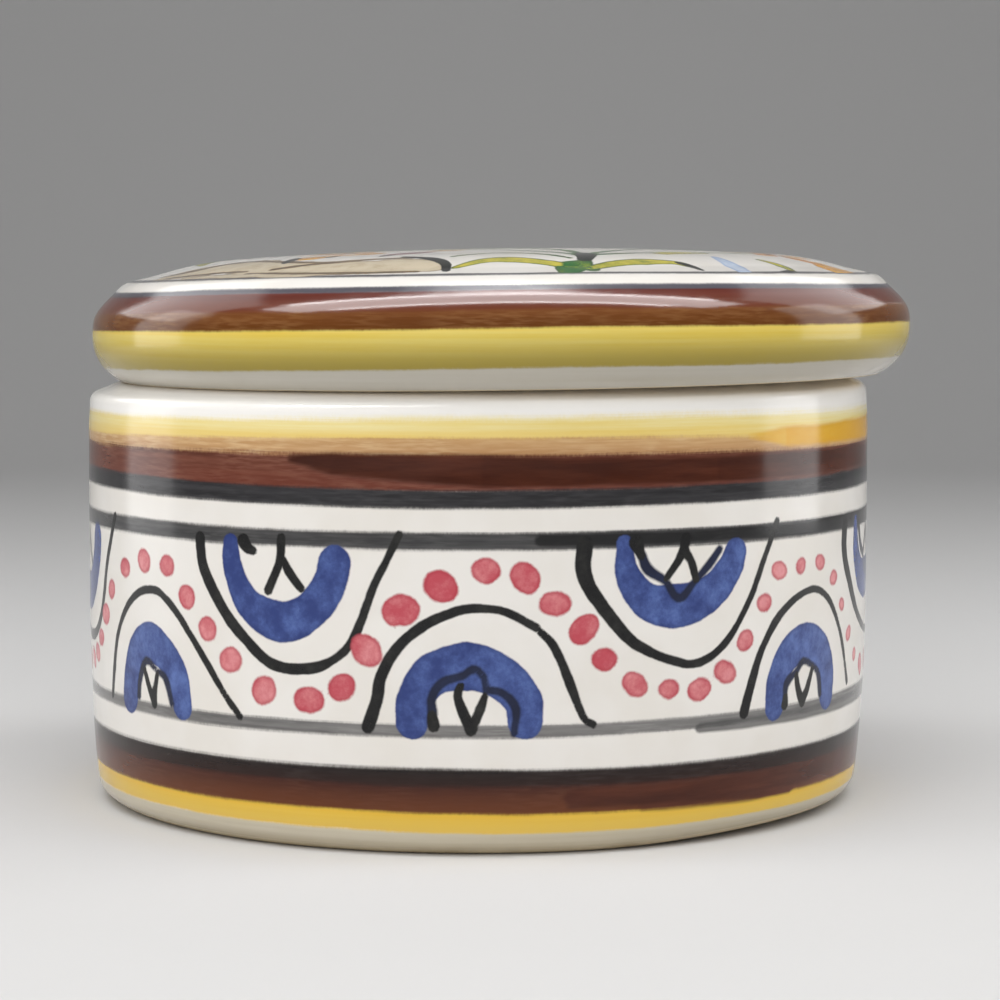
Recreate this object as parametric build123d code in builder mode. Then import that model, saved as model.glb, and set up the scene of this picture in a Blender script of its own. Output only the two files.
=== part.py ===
from build123d import *
import os

# A round glazed clay box with a loose lid, standing on its foot ring.
# Millimetres, +Z up, origin at the centre of the foot on the table.

# Box body
body_radius = 50.0  # outside of the wall where it is widest
body_height = 53.4  # table to the rim that the lid rests on
wall = 5.2  # thickness of the wall at the rim
floor_thickness = 5.0
inner_corner_radius = 6.0  # cove between the inside wall and the floor
belly_height = 25.0  # the wall is upright above this height and draws in below it
wall_draw_in = 1.2  # how much narrower the wall is just above the foot
foot_round = 2.8  # rounding from the wall to the foot
foot_ring_width = 6.0  # flat of the ring that touches the table
base_recess = 1.6  # height of the hollow inside the foot ring
base_recess_slope = 1.8  # run of its sloping edge
rim_crest = 1.3  # level top of the rim beside the mouth, where the lid rests
rim_drop = 1.4  # how far the rim slopes down from there to its outer edge
rim_outer_round = 1.3
rim_inner_round = 0.8

# Lid
lid_overhang = 2.3  # lid radius beyond the body radius
edge_bottom_height = 5.7  # seat to the widest line of the edge
edge_bottom_reach = 3.8  # how far the edge turns in below its widest line
edge_side = 3.4  # upright side at the widest line, before it is rounded
edge_slope_reach = 4.1  # run of the slope from that side to the ring round the top
edge_slope_rise = 3.9
edge_round = 6.0  # rounding between the side and the slope
ring_width = 4.2  # gently sloping ring round the crowned top
ring_rise = 0.9
ring_edge_round = 3.0
shoulder_reach = 10.0  # run of the rounded shoulder of the crowned top
shoulder_rise = 1.65
crown_rise = 0.8  # rise of the flatter crown inside the shoulder
lid_thickness = 5.2  # clay of the crowned top
recess_corner_radius = 5.0  # cove between the flange and the underside of the top

# Locating flange under the lid
flange_depth = 6.0
flange_wall = 3.8
flange_tip_round = 1.2
flange_root_round = 0.8
lid_play = 3.2  # free gap all round between the flange and the mouth when centred
lid_rest_gap = 0.25  # gap left on the side that the lid was pushed towards

# The mouth, the foot, the flange and the lid's place follow from the sizes above.
mouth_radius = body_radius - wall
foot_outer_radius = body_radius - wall_draw_in - foot_round
foot_inner_radius = foot_outer_radius - foot_ring_width
floor_height = base_recess + floor_thickness
flange_radius = mouth_radius - lid_play
lid_shift = lid_play - lid_rest_gap


def corner(section, radius, height):
    """The corner of a half-section nearest to a point given by radius and height."""
    return section.vertices().sort_by_distance((radius, height))[0]


os.makedirs("parts", exist_ok=True)

# The body is one half-section, from the foot round the wall and floor, turned about the axis.
with BuildPart() as box_body:
    with BuildSketch(Plane.XZ) as body_section:
        with BuildLine():
            lower_wall = TangentArc(
                (body_radius, belly_height),
                (body_radius - wall_draw_in, foot_round),
                tangent=(0, -1),
            )
            TangentArc(lower_wall @ 1, (foot_outer_radius, 0), tangent=lower_wall % 1)
            Polyline(
                (body_radius, belly_height),
                (body_radius, body_height - rim_drop),
                (mouth_radius + rim_crest, body_height),
                (mouth_radius, body_height),
                (mouth_radius, floor_height),
                (0, floor_height),
                (0, base_recess),
                (foot_inner_radius - base_recess_slope, base_recess),
                (foot_inner_radius, 0),
                (foot_outer_radius, 0),
            )
        make_face()
        fillet(corner(body_section, body_radius, body_height - rim_drop), rim_outer_round)
        fillet(corner(body_section, mouth_radius, body_height), rim_inner_round)
        fillet(corner(body_section, mouth_radius, floor_height), inner_corner_radius)
    revolve(axis=Axis.Z)
box_body.part.label = "box_body"
export_step(box_body.part, "parts/box_body.step")

# The lid's half-section is drawn from its own axis and its seat, then set on the rim, off centre.
lid_radius = body_radius + lid_overhang
seat_radius = lid_radius - edge_bottom_reach
edge_slope_height = edge_bottom_height + edge_side
ring_edge_radius = lid_radius - edge_slope_reach
ring_edge_height = edge_slope_height + edge_slope_rise
ring_radius = ring_edge_radius - ring_width
ring_height = ring_edge_height + ring_rise
crown_radius = ring_radius - shoulder_reach
crown_height = ring_height + shoulder_rise
apex_height = crown_height + crown_rise
recess_radius = flange_radius - flange_wall
recess_edge_height = crown_height - lid_thickness
recess_apex_height = apex_height - lid_thickness
lid_plane = Plane(origin=(lid_shift, 0, body_height), x_dir=(1, 0, 0), z_dir=(0, -1, 0))
lid_axis = Axis((lid_shift, 0, body_height), (0, 0, 1))

with BuildPart() as lid:
    with BuildSketch(lid_plane) as lid_section:
        with BuildLine():
            crown = TangentArc((0, apex_height), (crown_radius, crown_height), tangent=(1, 0))
            TangentArc(crown @ 1, (ring_radius, ring_height), tangent=crown % 1)
            Polyline(
                (ring_radius, ring_height),
                (ring_edge_radius, ring_edge_height),
                (lid_radius, edge_slope_height),
                (lid_radius, edge_bottom_height),
            )
            TangentArc((lid_radius, edge_bottom_height), (seat_radius, 0), tangent=(0, -1))
            Polyline(
                (seat_radius, 0),
                (flange_radius, 0),
                (flange_radius, -flange_depth),
                (recess_radius, -flange_depth),
                (recess_radius, recess_edge_height),
            )
            TangentArc(
                (0, recess_apex_height), (recess_radius, recess_edge_height), tangent=(1, 0)
            )
            Line((0, recess_apex_height), (0, apex_height))
        make_face()
        fillet(corner(lid_section, lid_radius, edge_slope_height), edge_round)
        fillet(corner(lid_section, ring_edge_radius, ring_edge_height), ring_edge_round)
        fillet(corner(lid_section, flange_radius, 0), flange_root_round)
        fillet(corner(lid_section, flange_radius, -flange_depth), flange_tip_round)
        fillet(corner(lid_section, recess_radius, -flange_depth), flange_tip_round)
        fillet(corner(lid_section, recess_radius, recess_edge_height), recess_corner_radius)
    revolve(axis=lid_axis)
lid.part.label = "lid"
export_step(lid.part, "parts/lid.step")
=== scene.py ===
"""A round, hand-painted earthenware trinket box with a loose lid, dressed for rendering.

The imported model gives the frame: two bodies, the box and its lid. This script turns a finer mesh
for each, lets the wheel and the hand show a little in its shape, and paints it with turned bands,
a frieze of bells, arches and dabs round the wall, and a flower spray on the lid. Lengths inside the
classes are millimetres, and each mesh is brought to metres as its last step.
"""

import logging
import math
from abc import ABC, abstractmethod
from dataclasses import dataclass, field
from enum import Enum

import bmesh
import bpy
import numpy as np
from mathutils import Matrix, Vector, noise

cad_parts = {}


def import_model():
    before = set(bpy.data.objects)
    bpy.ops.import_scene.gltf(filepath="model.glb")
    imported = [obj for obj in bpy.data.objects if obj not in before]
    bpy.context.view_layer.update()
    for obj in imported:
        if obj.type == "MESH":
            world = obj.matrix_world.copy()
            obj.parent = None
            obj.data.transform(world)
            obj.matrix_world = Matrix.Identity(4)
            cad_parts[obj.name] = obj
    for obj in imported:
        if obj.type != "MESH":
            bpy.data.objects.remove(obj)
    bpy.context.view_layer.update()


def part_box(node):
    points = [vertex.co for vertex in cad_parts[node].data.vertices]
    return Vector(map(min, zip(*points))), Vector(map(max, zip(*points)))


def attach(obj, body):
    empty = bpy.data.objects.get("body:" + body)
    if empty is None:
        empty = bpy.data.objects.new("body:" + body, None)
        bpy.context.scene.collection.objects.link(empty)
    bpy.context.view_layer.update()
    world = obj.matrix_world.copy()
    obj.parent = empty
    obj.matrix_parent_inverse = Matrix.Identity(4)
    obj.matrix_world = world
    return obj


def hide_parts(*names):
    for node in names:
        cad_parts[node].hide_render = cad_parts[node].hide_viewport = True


LOG = logging.getLogger("trinket_box")

# One millimetre in metres, and the distance in millimetres up to which a stroke's edge is measured.
MM = 0.001
FAR = 3.0
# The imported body's radius and the height of its rim, in millimetres.
BODY_RADIUS = 50.0
BODY_HEIGHT = 53.4

Point = tuple[float, float]
Triple = tuple[float, float, float]
Colour = tuple[float, float, float, float]
Lines = tuple[tuple[tuple[Point, ...], float], ...]
Socket = bpy.types.NodeSocket
Feed = Socket | float | tuple


def card(red: int, green: int, blue: int) -> Colour:
    """Turns a colour as it reads on a card into linear light.

    Args:
        red: The red channel, from 0 to 255.
        green: The green channel.
        blue: The blue channel.

    Returns:
        The opaque colour in linear light.
    """

    def linear(value: int) -> float:
        """Undoes the display curve of one channel."""
        share = value / 255.0
        return share / 12.92 if share <= 0.04045 else ((share + 0.055) / 1.055) ** 2.4

    return (linear(red), linear(green), linear(blue), 1.0)


class Stance(Enum):
    """Which border line of the frieze a motif grows from."""

    STANDING = 1.0
    HANGING = -1.0


class Pigment(Enum):
    """The brush colours, each laid as its own pair of vertex attributes."""

    COBALT = "cobalt"
    INDIGO = "indigo"
    OUTLINE = "outline"
    ROSE = "rose"
    LEAF = "leaf"
    OCHRE = "ochre"
    EARTH = "earth"
    UMBER = "umber"
    SKY = "sky"
    PLUM = "plum"
    LINE_COAT = "line_coat"
    BROWN_COAT = "brown_coat"
    GOLD_COAT = "gold_coat"


class BandAxis(Enum):
    """The vertex attribute that a turned band is measured along."""

    HEIGHT = "thrown_height"
    DOME_RADIUS = "dome_radius"


class SocketKind(Enum):
    """The kinds of socket that the node groups of this scene use."""

    VALUE = "NodeSocketFloat"
    VECTOR = "NodeSocketVector"
    COLOUR = "NodeSocketColor"


@dataclass(frozen=True)
class BrushStroke:
    """One pull of a loaded brush along a smooth line.

    Attributes:
        points: Where the brush passes, in millimetres on the flat of the design.
        widths: How wide the mark is at its start, middle and end.
        load: How much pigment the brush starts with, from 0 to 1.
        drying: The share of that pigment that is spent by the end.
    """

    points: tuple[Point, ...]
    widths: Triple
    load: float = 0.9
    drying: float = 0.15

    def centreline(self, cuts: int = 8) -> np.ndarray:
        """Runs a smooth line through the stroke's points.

        Args:
            cuts: How many steps each run between two points gets.

        Returns:
            The points of the line, one row each.
        """
        points = np.asarray(self.points, dtype=float)
        ends = (2 * points[:1] - points[1:2], points, 2 * points[-1:] - points[-2:-1])
        padded = np.vstack(ends)
        step = np.linspace(0.0, 1.0, cuts, endpoint=False)[:, None]
        runs = []
        for before, first, second, after in zip(padded, padded[1:], padded[2:], padded[3:]):
            bend = 2 * before - 5 * first + 4 * second - after
            twist = 3 * first - before - 3 * second + after
            curve = 2 * first + (second - before) * step + bend * step**2 + twist * step**3
            runs.append(0.5 * curve)
        return np.vstack([*runs, points[-1:]])

    def mark(self, places: np.ndarray) -> tuple[np.ndarray, np.ndarray]:
        """Measures the mark that the stroke leaves at each place.

        Args:
            places: Places on the flat of the design, one row each.

        Returns:
            The distance of each place from the mark's edge, negative inside it, and the pigment
            that the brush holds beside that place.
        """
        line = self.centreline()
        run = np.diff(line, axis=0)
        squared = np.maximum((run**2).sum(axis=1), 1e-9)
        along = np.concatenate([[0.0], np.cumsum(np.sqrt(squared))])
        along /= along[-1]
        offset = places[:, None, :] - line[None, :-1, :]
        share = np.clip((offset * run).sum(axis=2) / squared, 0.0, 1.0)
        gap = np.linalg.norm(offset - share[..., None] * run, axis=2)
        spent = along[:-1] + share * np.diff(along)
        reach = gap - 0.5 * np.interp(spent, (0.0, 0.5, 1.0), self.widths)
        nearest = reach.argmin(axis=1)
        rows = np.arange(len(places))
        return reach[rows, nearest], self.load * (1.0 - self.drying * spent[rows, nearest])

    def moved(self, across: float, up: float, flip: float, stance: Stance) -> "BrushStroke":
        """Carries the stroke from a motif's own flat to the frieze.

        Args:
            across: Where the motif's axis stands, along the wall.
            up: The height of the line that the motif grows from.
            flip: 1 as drawn, or -1 mirrored from side to side.
            stance: Whether the motif stands on its line or hangs from it.

        Returns:
            The same stroke in the frieze's own millimetres.
        """
        points = tuple((across + flip * x, up + stance.value * y) for x, y in self.points)
        return BrushStroke(points, self.widths, self.load, self.drying)


Design = list[tuple[Pigment, BrushStroke]]


@dataclass(frozen=True)
class DabRun:
    """A row of round dabs along a line.

    Attributes:
        path: The points that the row follows, as angle in degrees and height in millimetres.
        size: The width of a dab at the row's start and end.
        load: The pigment in a dab at the row's start and end.
        count: How many dabs are spaced evenly along the row, or 0 for one at each point.
    """

    path: tuple[Point, ...]
    size: tuple[float, float]
    load: tuple[float, float]
    count: int = 0

    def dabs(self, radius: float, seed: int) -> list[BrushStroke]:
        """Sets the dabs out along the row, each a little out of place and round.

        Args:
            radius: The radius of the wall that the row goes round.
            seed: Picks one set of small differences.

        Returns:
            One short stroke for each dab.
        """
        chance = np.random.default_rng(seed)
        cuts = 16
        points = tuple((math.radians(angle) * radius, height) for angle, height in self.path)
        line = BrushStroke(points, (1.0, 1.0, 1.0)).centreline(cuts)
        lengths = np.linalg.norm(np.diff(line, axis=0), axis=1)
        along = np.concatenate([[0.0], np.cumsum(lengths)])
        places = np.linspace(0.0, along[-1], self.count) if self.count else along[::cuts]
        made = []
        for place in places:
            x = float(np.interp(place, along, line[:, 0])) + chance.normal(0.0, 0.1)
            y = float(np.interp(place, along, line[:, 1])) + chance.normal(0.0, 0.1)
            ends = (0.0, along[-1])
            size = float(np.interp(place, ends, self.size)) * chance.uniform(0.92, 1.06)
            load = float(np.interp(place, ends, self.load)) * chance.uniform(0.85, 1.1)
            turn = chance.uniform(-0.9, 0.9)
            half = chance.uniform(0.08, 0.2) * size
            dx, dy = half * math.cos(turn), half * math.sin(turn)
            widths = (0.84 * size, 0.9 * size, 0.74 * size)
            made.append(BrushStroke(((x - dx, y - dy), (x + dx, y + dy)), widths, load, 0.0))
        return made


@dataclass(frozen=True)
class Coat:
    """A second coat along a line or band, laid while the wheel stood.

    Attributes:
        pigment: Its colour.
        first: The angle in degrees where it starts.
        last: The angle in degrees where it ends.
        heights: The height of its middle at its start and end.
        widths: How wide it is at its start and end.
        load: How much pigment the brush held.
    """

    pigment: Pigment
    first: float
    last: float
    heights: tuple[float, float]
    widths: tuple[float, float]
    load: float

    def stroke(self, radius: float) -> BrushStroke:
        """Gives the coat as one long stroke along the wall.

        Args:
            radius: The wall's radius.

        Returns:
            The stroke.
        """
        turns = np.radians(np.linspace(self.first, self.last, 7)) * radius
        rises = np.linspace(*self.heights, 7) + 0.06 * np.sin(2.0 * turns / radius)
        points = tuple((float(turn), float(rise)) for turn, rise in zip(turns, rises))
        start, end = self.widths
        return BrushStroke(points, (start, 0.5 * (start + end), end), self.load, 0.1)


@dataclass(frozen=True)
class MotifDrawing:
    """One motif of the frieze, drawn from its border line upwards about its own axis.

    Attributes:
        bell: The black outline that arches over the motif.
        arch: The broad blue arch under the bell.
        lobes: The dark blue lobes of a leaf, drawn over the arch's inner edge.
        veins: The black lines of the leaf on the white inside the arch.
    """

    bell: tuple[BrushStroke, ...]
    arch: BrushStroke
    lobes: tuple[BrushStroke, ...]
    veins: tuple[BrushStroke, ...]


@dataclass(frozen=True)
class Motif:
    """A drawing set at its place in the frieze.

    Attributes:
        drawing: What is drawn there.
        angle: Where its axis stands, in degrees round the wall.
        stance: Which border line it grows from.
        flip: 1 as drawn, or -1 mirrored from side to side.
    """

    drawing: MotifDrawing
    angle: float
    stance: Stance
    flip: float = 1.0


STANDING_CENTRE = MotifDrawing(
    bell=(
        BrushStroke(
            ((-12.5, 0.0), (-11.4, 3.2), (-10.9, 5.8), (-9.1, 9.1), (-6.2, 11.6), (-2.4, 13.4))
            + ((0.4, 13.8), (3.4, 13.4), (6.9, 11.6)),
            (1.5, 1.15, 1.05),
        ),
        BrushStroke(
            ((7.4, 11.1), (8.8, 9.6), (10.0, 7.2), (11.2, 4.2), (12.5, 1.1), (13.7, 0.2)),
            (0.9, 1.2, 0.85),
        ),
    ),
    arch=BrushStroke(
        ((-7.3, 0.6), (-6.9, 3.4), (-4.7, 6.3), (-0.9, 7.2), (2.7, 6.0), (5.3, 3.4), (5.7, 0.8)),
        (3.7, 5.6, 4.2),
        0.85,
    ),
    lobes=(
        BrushStroke(((-4.9, 1.6), (-5.0, 3.6), (-3.8, 5.3), (-1.6, 6.1)), (1.2, 1.1, 0.9)),
        BrushStroke(((-1.6, 6.0), (-0.2, 6.9), (0.9, 6.0), (1.2, 4.5)), (0.9, 1.0, 0.8)),
        BrushStroke(((1.2, 4.5), (3.1, 4.1), (4.6, 2.3), (4.4, -0.6)), (0.9, 1.1, 0.9)),
    ),
    veins=(
        BrushStroke(((-4.8, 0.3), (-5.0, 1.6)), (1.5, 1.4, 1.1)),
        BrushStroke(((-1.7, 5.0), (-2.0, 3.4), (-0.5, -0.1)), (0.8, 1.2, 1.5)),
        BrushStroke(((1.1, 3.9), (0.7, 2.6), (-0.1, 0.6)), (0.8, 1.3, 1.1)),
    ),
)

STANDING_LEFT = MotifDrawing(
    bell=(
        BrushStroke(
            ((-12.7, -0.1), (-11.6, 3.8), (-10.2, 7.6), (-7.5, 11.2), (-4.2, 13.4), (-1.0, 14.0))
            + ((1.3, 13.4), (4.8, 10.8), (8.9, 6.3), (11.4, 3.1), (14.0, 0.2)),
            (0.86, 1.05, 0.95),
        ),
    ),
    arch=BrushStroke(
        ((-7.0, 0.3), (-6.1, 3.5), (-4.5, 6.3), (-1.9, 7.6), (1.2, 6.6), (3.7, 4.2), (4.5, 0.6)),
        (3.8, 5.0, 3.4),
        0.75,
    ),
    lobes=(
        BrushStroke(((-4.6, 0.8), (-4.2, 2.8), (-2.6, 5.3), (-0.3, 4.4)), (1.0, 1.1, 0.8)),
        BrushStroke(((-0.3, 4.4), (1.5, 3.5), (2.6, 0.6)), (0.8, 1.1, 1.0)),
    ),
    veins=(
        BrushStroke(((-3.0, 4.2), (-2.2, 2.4), (-1.0, 0.3)), (0.9, 1.1, 1.3)),
        BrushStroke(((-0.2, 4.0), (-0.6, 2.6), (-1.0, 0.3)), (0.8, 1.0, 1.2)),
    ),
)

STANDING_RIGHT = MotifDrawing(
    bell=(
        BrushStroke(
            ((-11.2, 0.2), (-10.3, 3.0), (-8.6, 7.2), (-6.0, 10.6), (-3.1, 12.6), (0.2, 13.7))
            + ((3.2, 13.6), (6.4, 11.8), (9.7, 7.7), (11.6, 4.0), (12.9, 1.2)),
            (1.5, 0.9, 0.85),
        ),
    ),
    arch=BrushStroke(
        ((-5.8, 0.4), (-5.4, 3.6), (-3.3, 6.5), (0.2, 7.5), (3.6, 6.3), (5.7, 3.6), (5.9, 0.5)),
        (3.4, 5.0, 3.6),
        0.72,
    ),
    lobes=(
        BrushStroke(((-3.9, 1.4), (-3.6, 3.0), (-1.8, 4.2)), (0.9, 1.1, 0.8)),
        BrushStroke(((-1.8, 4.0), (-0.3, 5.3), (1.9, 4.6)), (0.8, 1.0, 0.8)),
        BrushStroke(((1.9, 4.6), (3.4, 3.4), (4.1, 0.8)), (0.8, 1.1, 0.9)),
    ),
    veins=(
        BrushStroke(((-3.9, 0.4), (-3.8, 1.4)), (1.4, 1.2, 0.9)),
        BrushStroke(((-1.7, 3.8), (-1.2, 2.0), (-0.2, 0.3)), (0.8, 1.1, 1.3)),
        BrushStroke(((1.9, 4.3), (1.0, 2.2), (0.0, 0.6)), (0.8, 1.0, 1.1)),
    ),
)

HANGING_LEFT = MotifDrawing(
    bell=(
        BrushStroke(
            ((-12.5, 0.2), (-12.0, 3.5), (-9.9, 6.9), (-8.0, 9.3), (-5.5, 11.6), (-2.8, 13.8))
            + ((-0.6, 14.6), (1.8, 14.7), (4.8, 14.1), (7.8, 12.0), (9.6, 8.6), (11.0, 4.7))
            + ((12.3, 2.2), (14.0, -1.2)),
            (1.7, 1.3, 0.9),
        ),
    ),
    arch=BrushStroke(
        ((-7.7, 0.5), (-7.4, 3.2), (-5.5, 6.9), (-2.8, 8.8), (0.2, 9.3), (3.2, 7.9), (5.6, 4.8))
        + ((6.3, 2.2),),
        (2.2, 4.8, 4.0),
        0.9,
    ),
    lobes=(),
    veins=(
        BrushStroke(((-5.8, 0.2), (-5.1, 1.0), (-4.3, 1.3)), (1.7, 1.5, 1.0)),
        BrushStroke(((-0.5, -0.4), (-0.7, 2.2), (-2.3, 5.8)), (1.2, 1.0, 1.2)),
        BrushStroke(((-0.6, 1.6), (0.6, 3.6), (2.1, 5.4)), (0.9, 1.1, 1.0)),
    ),
)

HANGING_RIGHT = MotifDrawing(
    bell=(
        BrushStroke(
            ((-12.3, 0.0), (-12.5, 2.6), (-11.8, 4.9), (-10.2, 7.2), (-8.2, 9.7), (-6.2, 11.6))
            + ((-3.4, 13.1), (-1.1, 13.9), (0.9, 14.4), (3.1, 14.1), (5.6, 12.7), (8.0, 10.2))
            + ((10.2, 7.0), (12.3, 2.8), (14.6, -1.6)),
            (2.0, 1.0, 0.86),
        ),
    ),
    arch=BrushStroke(
        ((-7.6, 0.0), (-7.1, 3.6), (-5.0, 6.5), (-2.0, 7.5), (1.2, 7.3), (4.6, 5.8), (7.0, 3.2))
        + ((7.6, 1.7),),
        (1.9, 5.3, 3.4),
        0.8,
    ),
    lobes=(
        BrushStroke(((-5.4, 1.4), (-4.6, 3.1), (-2.4, 4.5)), (1.2, 1.4, 1.1)),
        BrushStroke(((-2.4, 4.4), (-0.5, 6.7), (1.7, 4.7)), (0.9, 1.1, 0.8)),
        BrushStroke(((1.7, 4.7), (3.4, 3.2), (5.2, 1.2)), (0.8, 1.1, 0.9)),
    ),
    veins=(
        BrushStroke(((-6.1, 0.0), (-5.4, 1.6)), (1.8, 1.4, 1.0)),
        BrushStroke(((0.4, -0.2), (-0.2, 1.6), (-2.2, 4.3)), (1.5, 1.2, 0.9)),
        BrushStroke(((0.3, 1.0), (1.2, 2.6), (1.8, 4.6)), (1.1, 1.1, 0.9)),
    ),
)


@dataclass(frozen=True)
class Frieze:
    """The band of painting round the wall, between two border lines.

    Attributes:
        radius: The wall's radius, which turns angles into lengths along the frieze.
        floor_line: The height that standing motifs grow from.
        ceiling_line: The height that hanging motifs grow from.
        motifs: Fourteen motifs in turn, standing and hanging.
        dab_runs: The rows of red dabs that wind between the bells.
        coats: Second coats over lines and bands.
    """

    radius: float = BODY_RADIUS
    floor_line: float = 15.0
    ceiling_line: float = 36.0
    motifs: tuple[Motif, ...] = (
        Motif(HANGING_LEFT, -78.0, Stance.HANGING),
        Motif(STANDING_LEFT, -49.5, Stance.STANDING),
        Motif(HANGING_LEFT, -26.0, Stance.HANGING),
        Motif(STANDING_CENTRE, 0.0, Stance.STANDING),
        Motif(HANGING_RIGHT, 28.5, Stance.HANGING),
        Motif(STANDING_RIGHT, 52.0, Stance.STANDING),
        Motif(HANGING_RIGHT, 78.5, Stance.HANGING),
        Motif(STANDING_CENTRE, 103.5, Stance.STANDING, -1.0),
        Motif(HANGING_LEFT, 129.0, Stance.HANGING, -1.0),
        Motif(STANDING_LEFT, 154.0, Stance.STANDING),
        Motif(HANGING_RIGHT, 180.0, Stance.HANGING, -1.0),
        Motif(STANDING_RIGHT, -154.5, Stance.STANDING, -1.0),
        Motif(HANGING_LEFT, -129.5, Stance.HANGING),
        Motif(STANDING_CENTRE, -104.0, Stance.STANDING),
    )
    dab_runs: tuple[DabRun, ...] = (
        DabRun(
            ((-75.0, 18.2), (-71.6, 19.4), (-69.0, 21.6), (-66.1, 24.7), (-63.1, 28.2), (-58.5, 31.0))
            + ((-52.9, 32.2), (-47.3, 32.2), (-42.9, 28.7), (-39.0, 25.3), (-34.7, 21.7), (-29.2, 18.6))
            + ((-22.6, 17.8), (-17.9, 19.6), (-14.5, 23.6), (-10.0, 28.3), (-4.5, 31.3)),
            (2.5, 4.15),
            (0.5, 0.8),
        ),
        DabRun(
            ((1.5, 33.0), (6.6, 32.3), (10.8, 29.2), (14.4, 26.3), (17.3, 22.7), (21.4, 19.7))
            + ((26.6, 18.9), (31.2, 18.5), (35.8, 20.2), (39.1, 23.7), (42.8, 28.0), (45.8, 31.6))
            + ((50.8, 31.8), (56.1, 31.9), (60.2, 29.9), (63.4, 26.2), (66.6, 22.4), (70.2, 19.4)),
            (3.6, 1.9),
            (0.8, 0.35),
        ),
        DabRun(
            ((75.0, 17.8), (84.0, 18.6), (92.0, 27.0), (99.0, 31.6), (107.0, 31.8), (116.0, 25.0))
            + ((125.0, 18.4), (133.0, 18.4), (141.0, 24.6), (149.0, 31.4), (158.0, 31.6), (168.0, 24.8))
            + ((176.0, 18.6), (182.0, 18.0)),
            (2.7, 3.6),
            (0.6, 0.7),
            24,
        ),
        DabRun(
            ((187.0, 19.6), (194.0, 26.6), (201.0, 31.6), (210.0, 31.7), (219.0, 24.8), (227.0, 18.4))
            + ((234.0, 18.3), (243.0, 25.0), (251.0, 31.5), (260.0, 31.6), (269.0, 25.0), (277.0, 18.4))
            + ((281.0, 17.8),),
            (3.6, 2.9),
            (0.7, 0.5),
            22,
        ),
    )
    coats: tuple[Coat, ...] = (
        Coat(Pigment.LINE_COAT, 8.5, 86.0, (36.4, 36.2), (1.5, 1.8), 1.0),
        Coat(Pigment.LINE_COAT, 128.0, 201.0, (36.5, 36.4), (1.4, 1.7), 0.8),
        Coat(Pigment.LINE_COAT, 31.5, 95.0, (13.9, 13.8), (1.2, 1.4), 0.45),
        Coat(Pigment.LINE_COAT, 196.0, 226.0, (14.2, 14.0), (1.2, 1.4), 0.5),
        Coat(Pigment.BROWN_COAT, -25.0, -19.0, (45.6, 45.1), (1.0, 2.8), 0.8),
        Coat(Pigment.BROWN_COAT, -19.0, 1.0, (45.1, 44.35), (2.8, 3.6), 0.8),
        Coat(Pigment.BROWN_COAT, 1.0, 34.0, (44.35, 44.0), (3.6, 2.6), 0.8),
        Coat(Pigment.BROWN_COAT, 34.0, 168.0, (44.0, 44.1), (2.6, 3.0), 0.8),
        Coat(Pigment.BROWN_COAT, 186.0, 262.0, (44.6, 44.3), (1.6, 3.4), 0.6),
        Coat(Pigment.BROWN_COAT, 13.0, 118.0, (6.5, 6.3), (2.2, 2.8), 0.7),
        Coat(Pigment.BROWN_COAT, 23.0, 50.0, (5.0, 4.9), (0.8, 1.1), 0.4),
        Coat(Pigment.BROWN_COAT, 170.0, 250.0, (6.6, 6.6), (2.0, 2.6), 0.6),
        Coat(Pigment.GOLD_COAT, 39.5, 47.0, (47.6, 47.45), (0.5, 2.3), 0.7),
        Coat(Pigment.GOLD_COAT, 47.0, 118.0, (47.45, 47.5), (2.3, 2.7), 0.95),
        Coat(Pigment.GOLD_COAT, 205.0, 258.0, (47.5, 47.4), (1.2, 1.8), 0.5),
    )

    def strokes(self) -> Design:
        """Lists every stroke of the frieze, along the wall and up it.

        Returns:
            Each stroke with its pigment.
        """
        listed: Design = []
        for motif in self.motifs:
            standing = motif.stance is Stance.STANDING
            up = self.floor_line if standing else self.ceiling_line
            place = (math.radians(motif.angle) * self.radius, up, motif.flip, motif.stance)
            listed.append((Pigment.COBALT, motif.drawing.arch.moved(*place)))
            for stroke in motif.drawing.lobes:
                listed.append((Pigment.INDIGO, stroke.moved(*place)))
            for stroke in motif.drawing.bell + motif.drawing.veins:
                listed.append((Pigment.OUTLINE, stroke.moved(*place)))
        for seed, run in enumerate(self.dab_runs, start=11):
            listed += [(Pigment.ROSE, dab) for dab in run.dabs(self.radius, seed)]
        listed += [(coat.pigment, coat.stroke(self.radius)) for coat in self.coats]
        return listed


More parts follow.
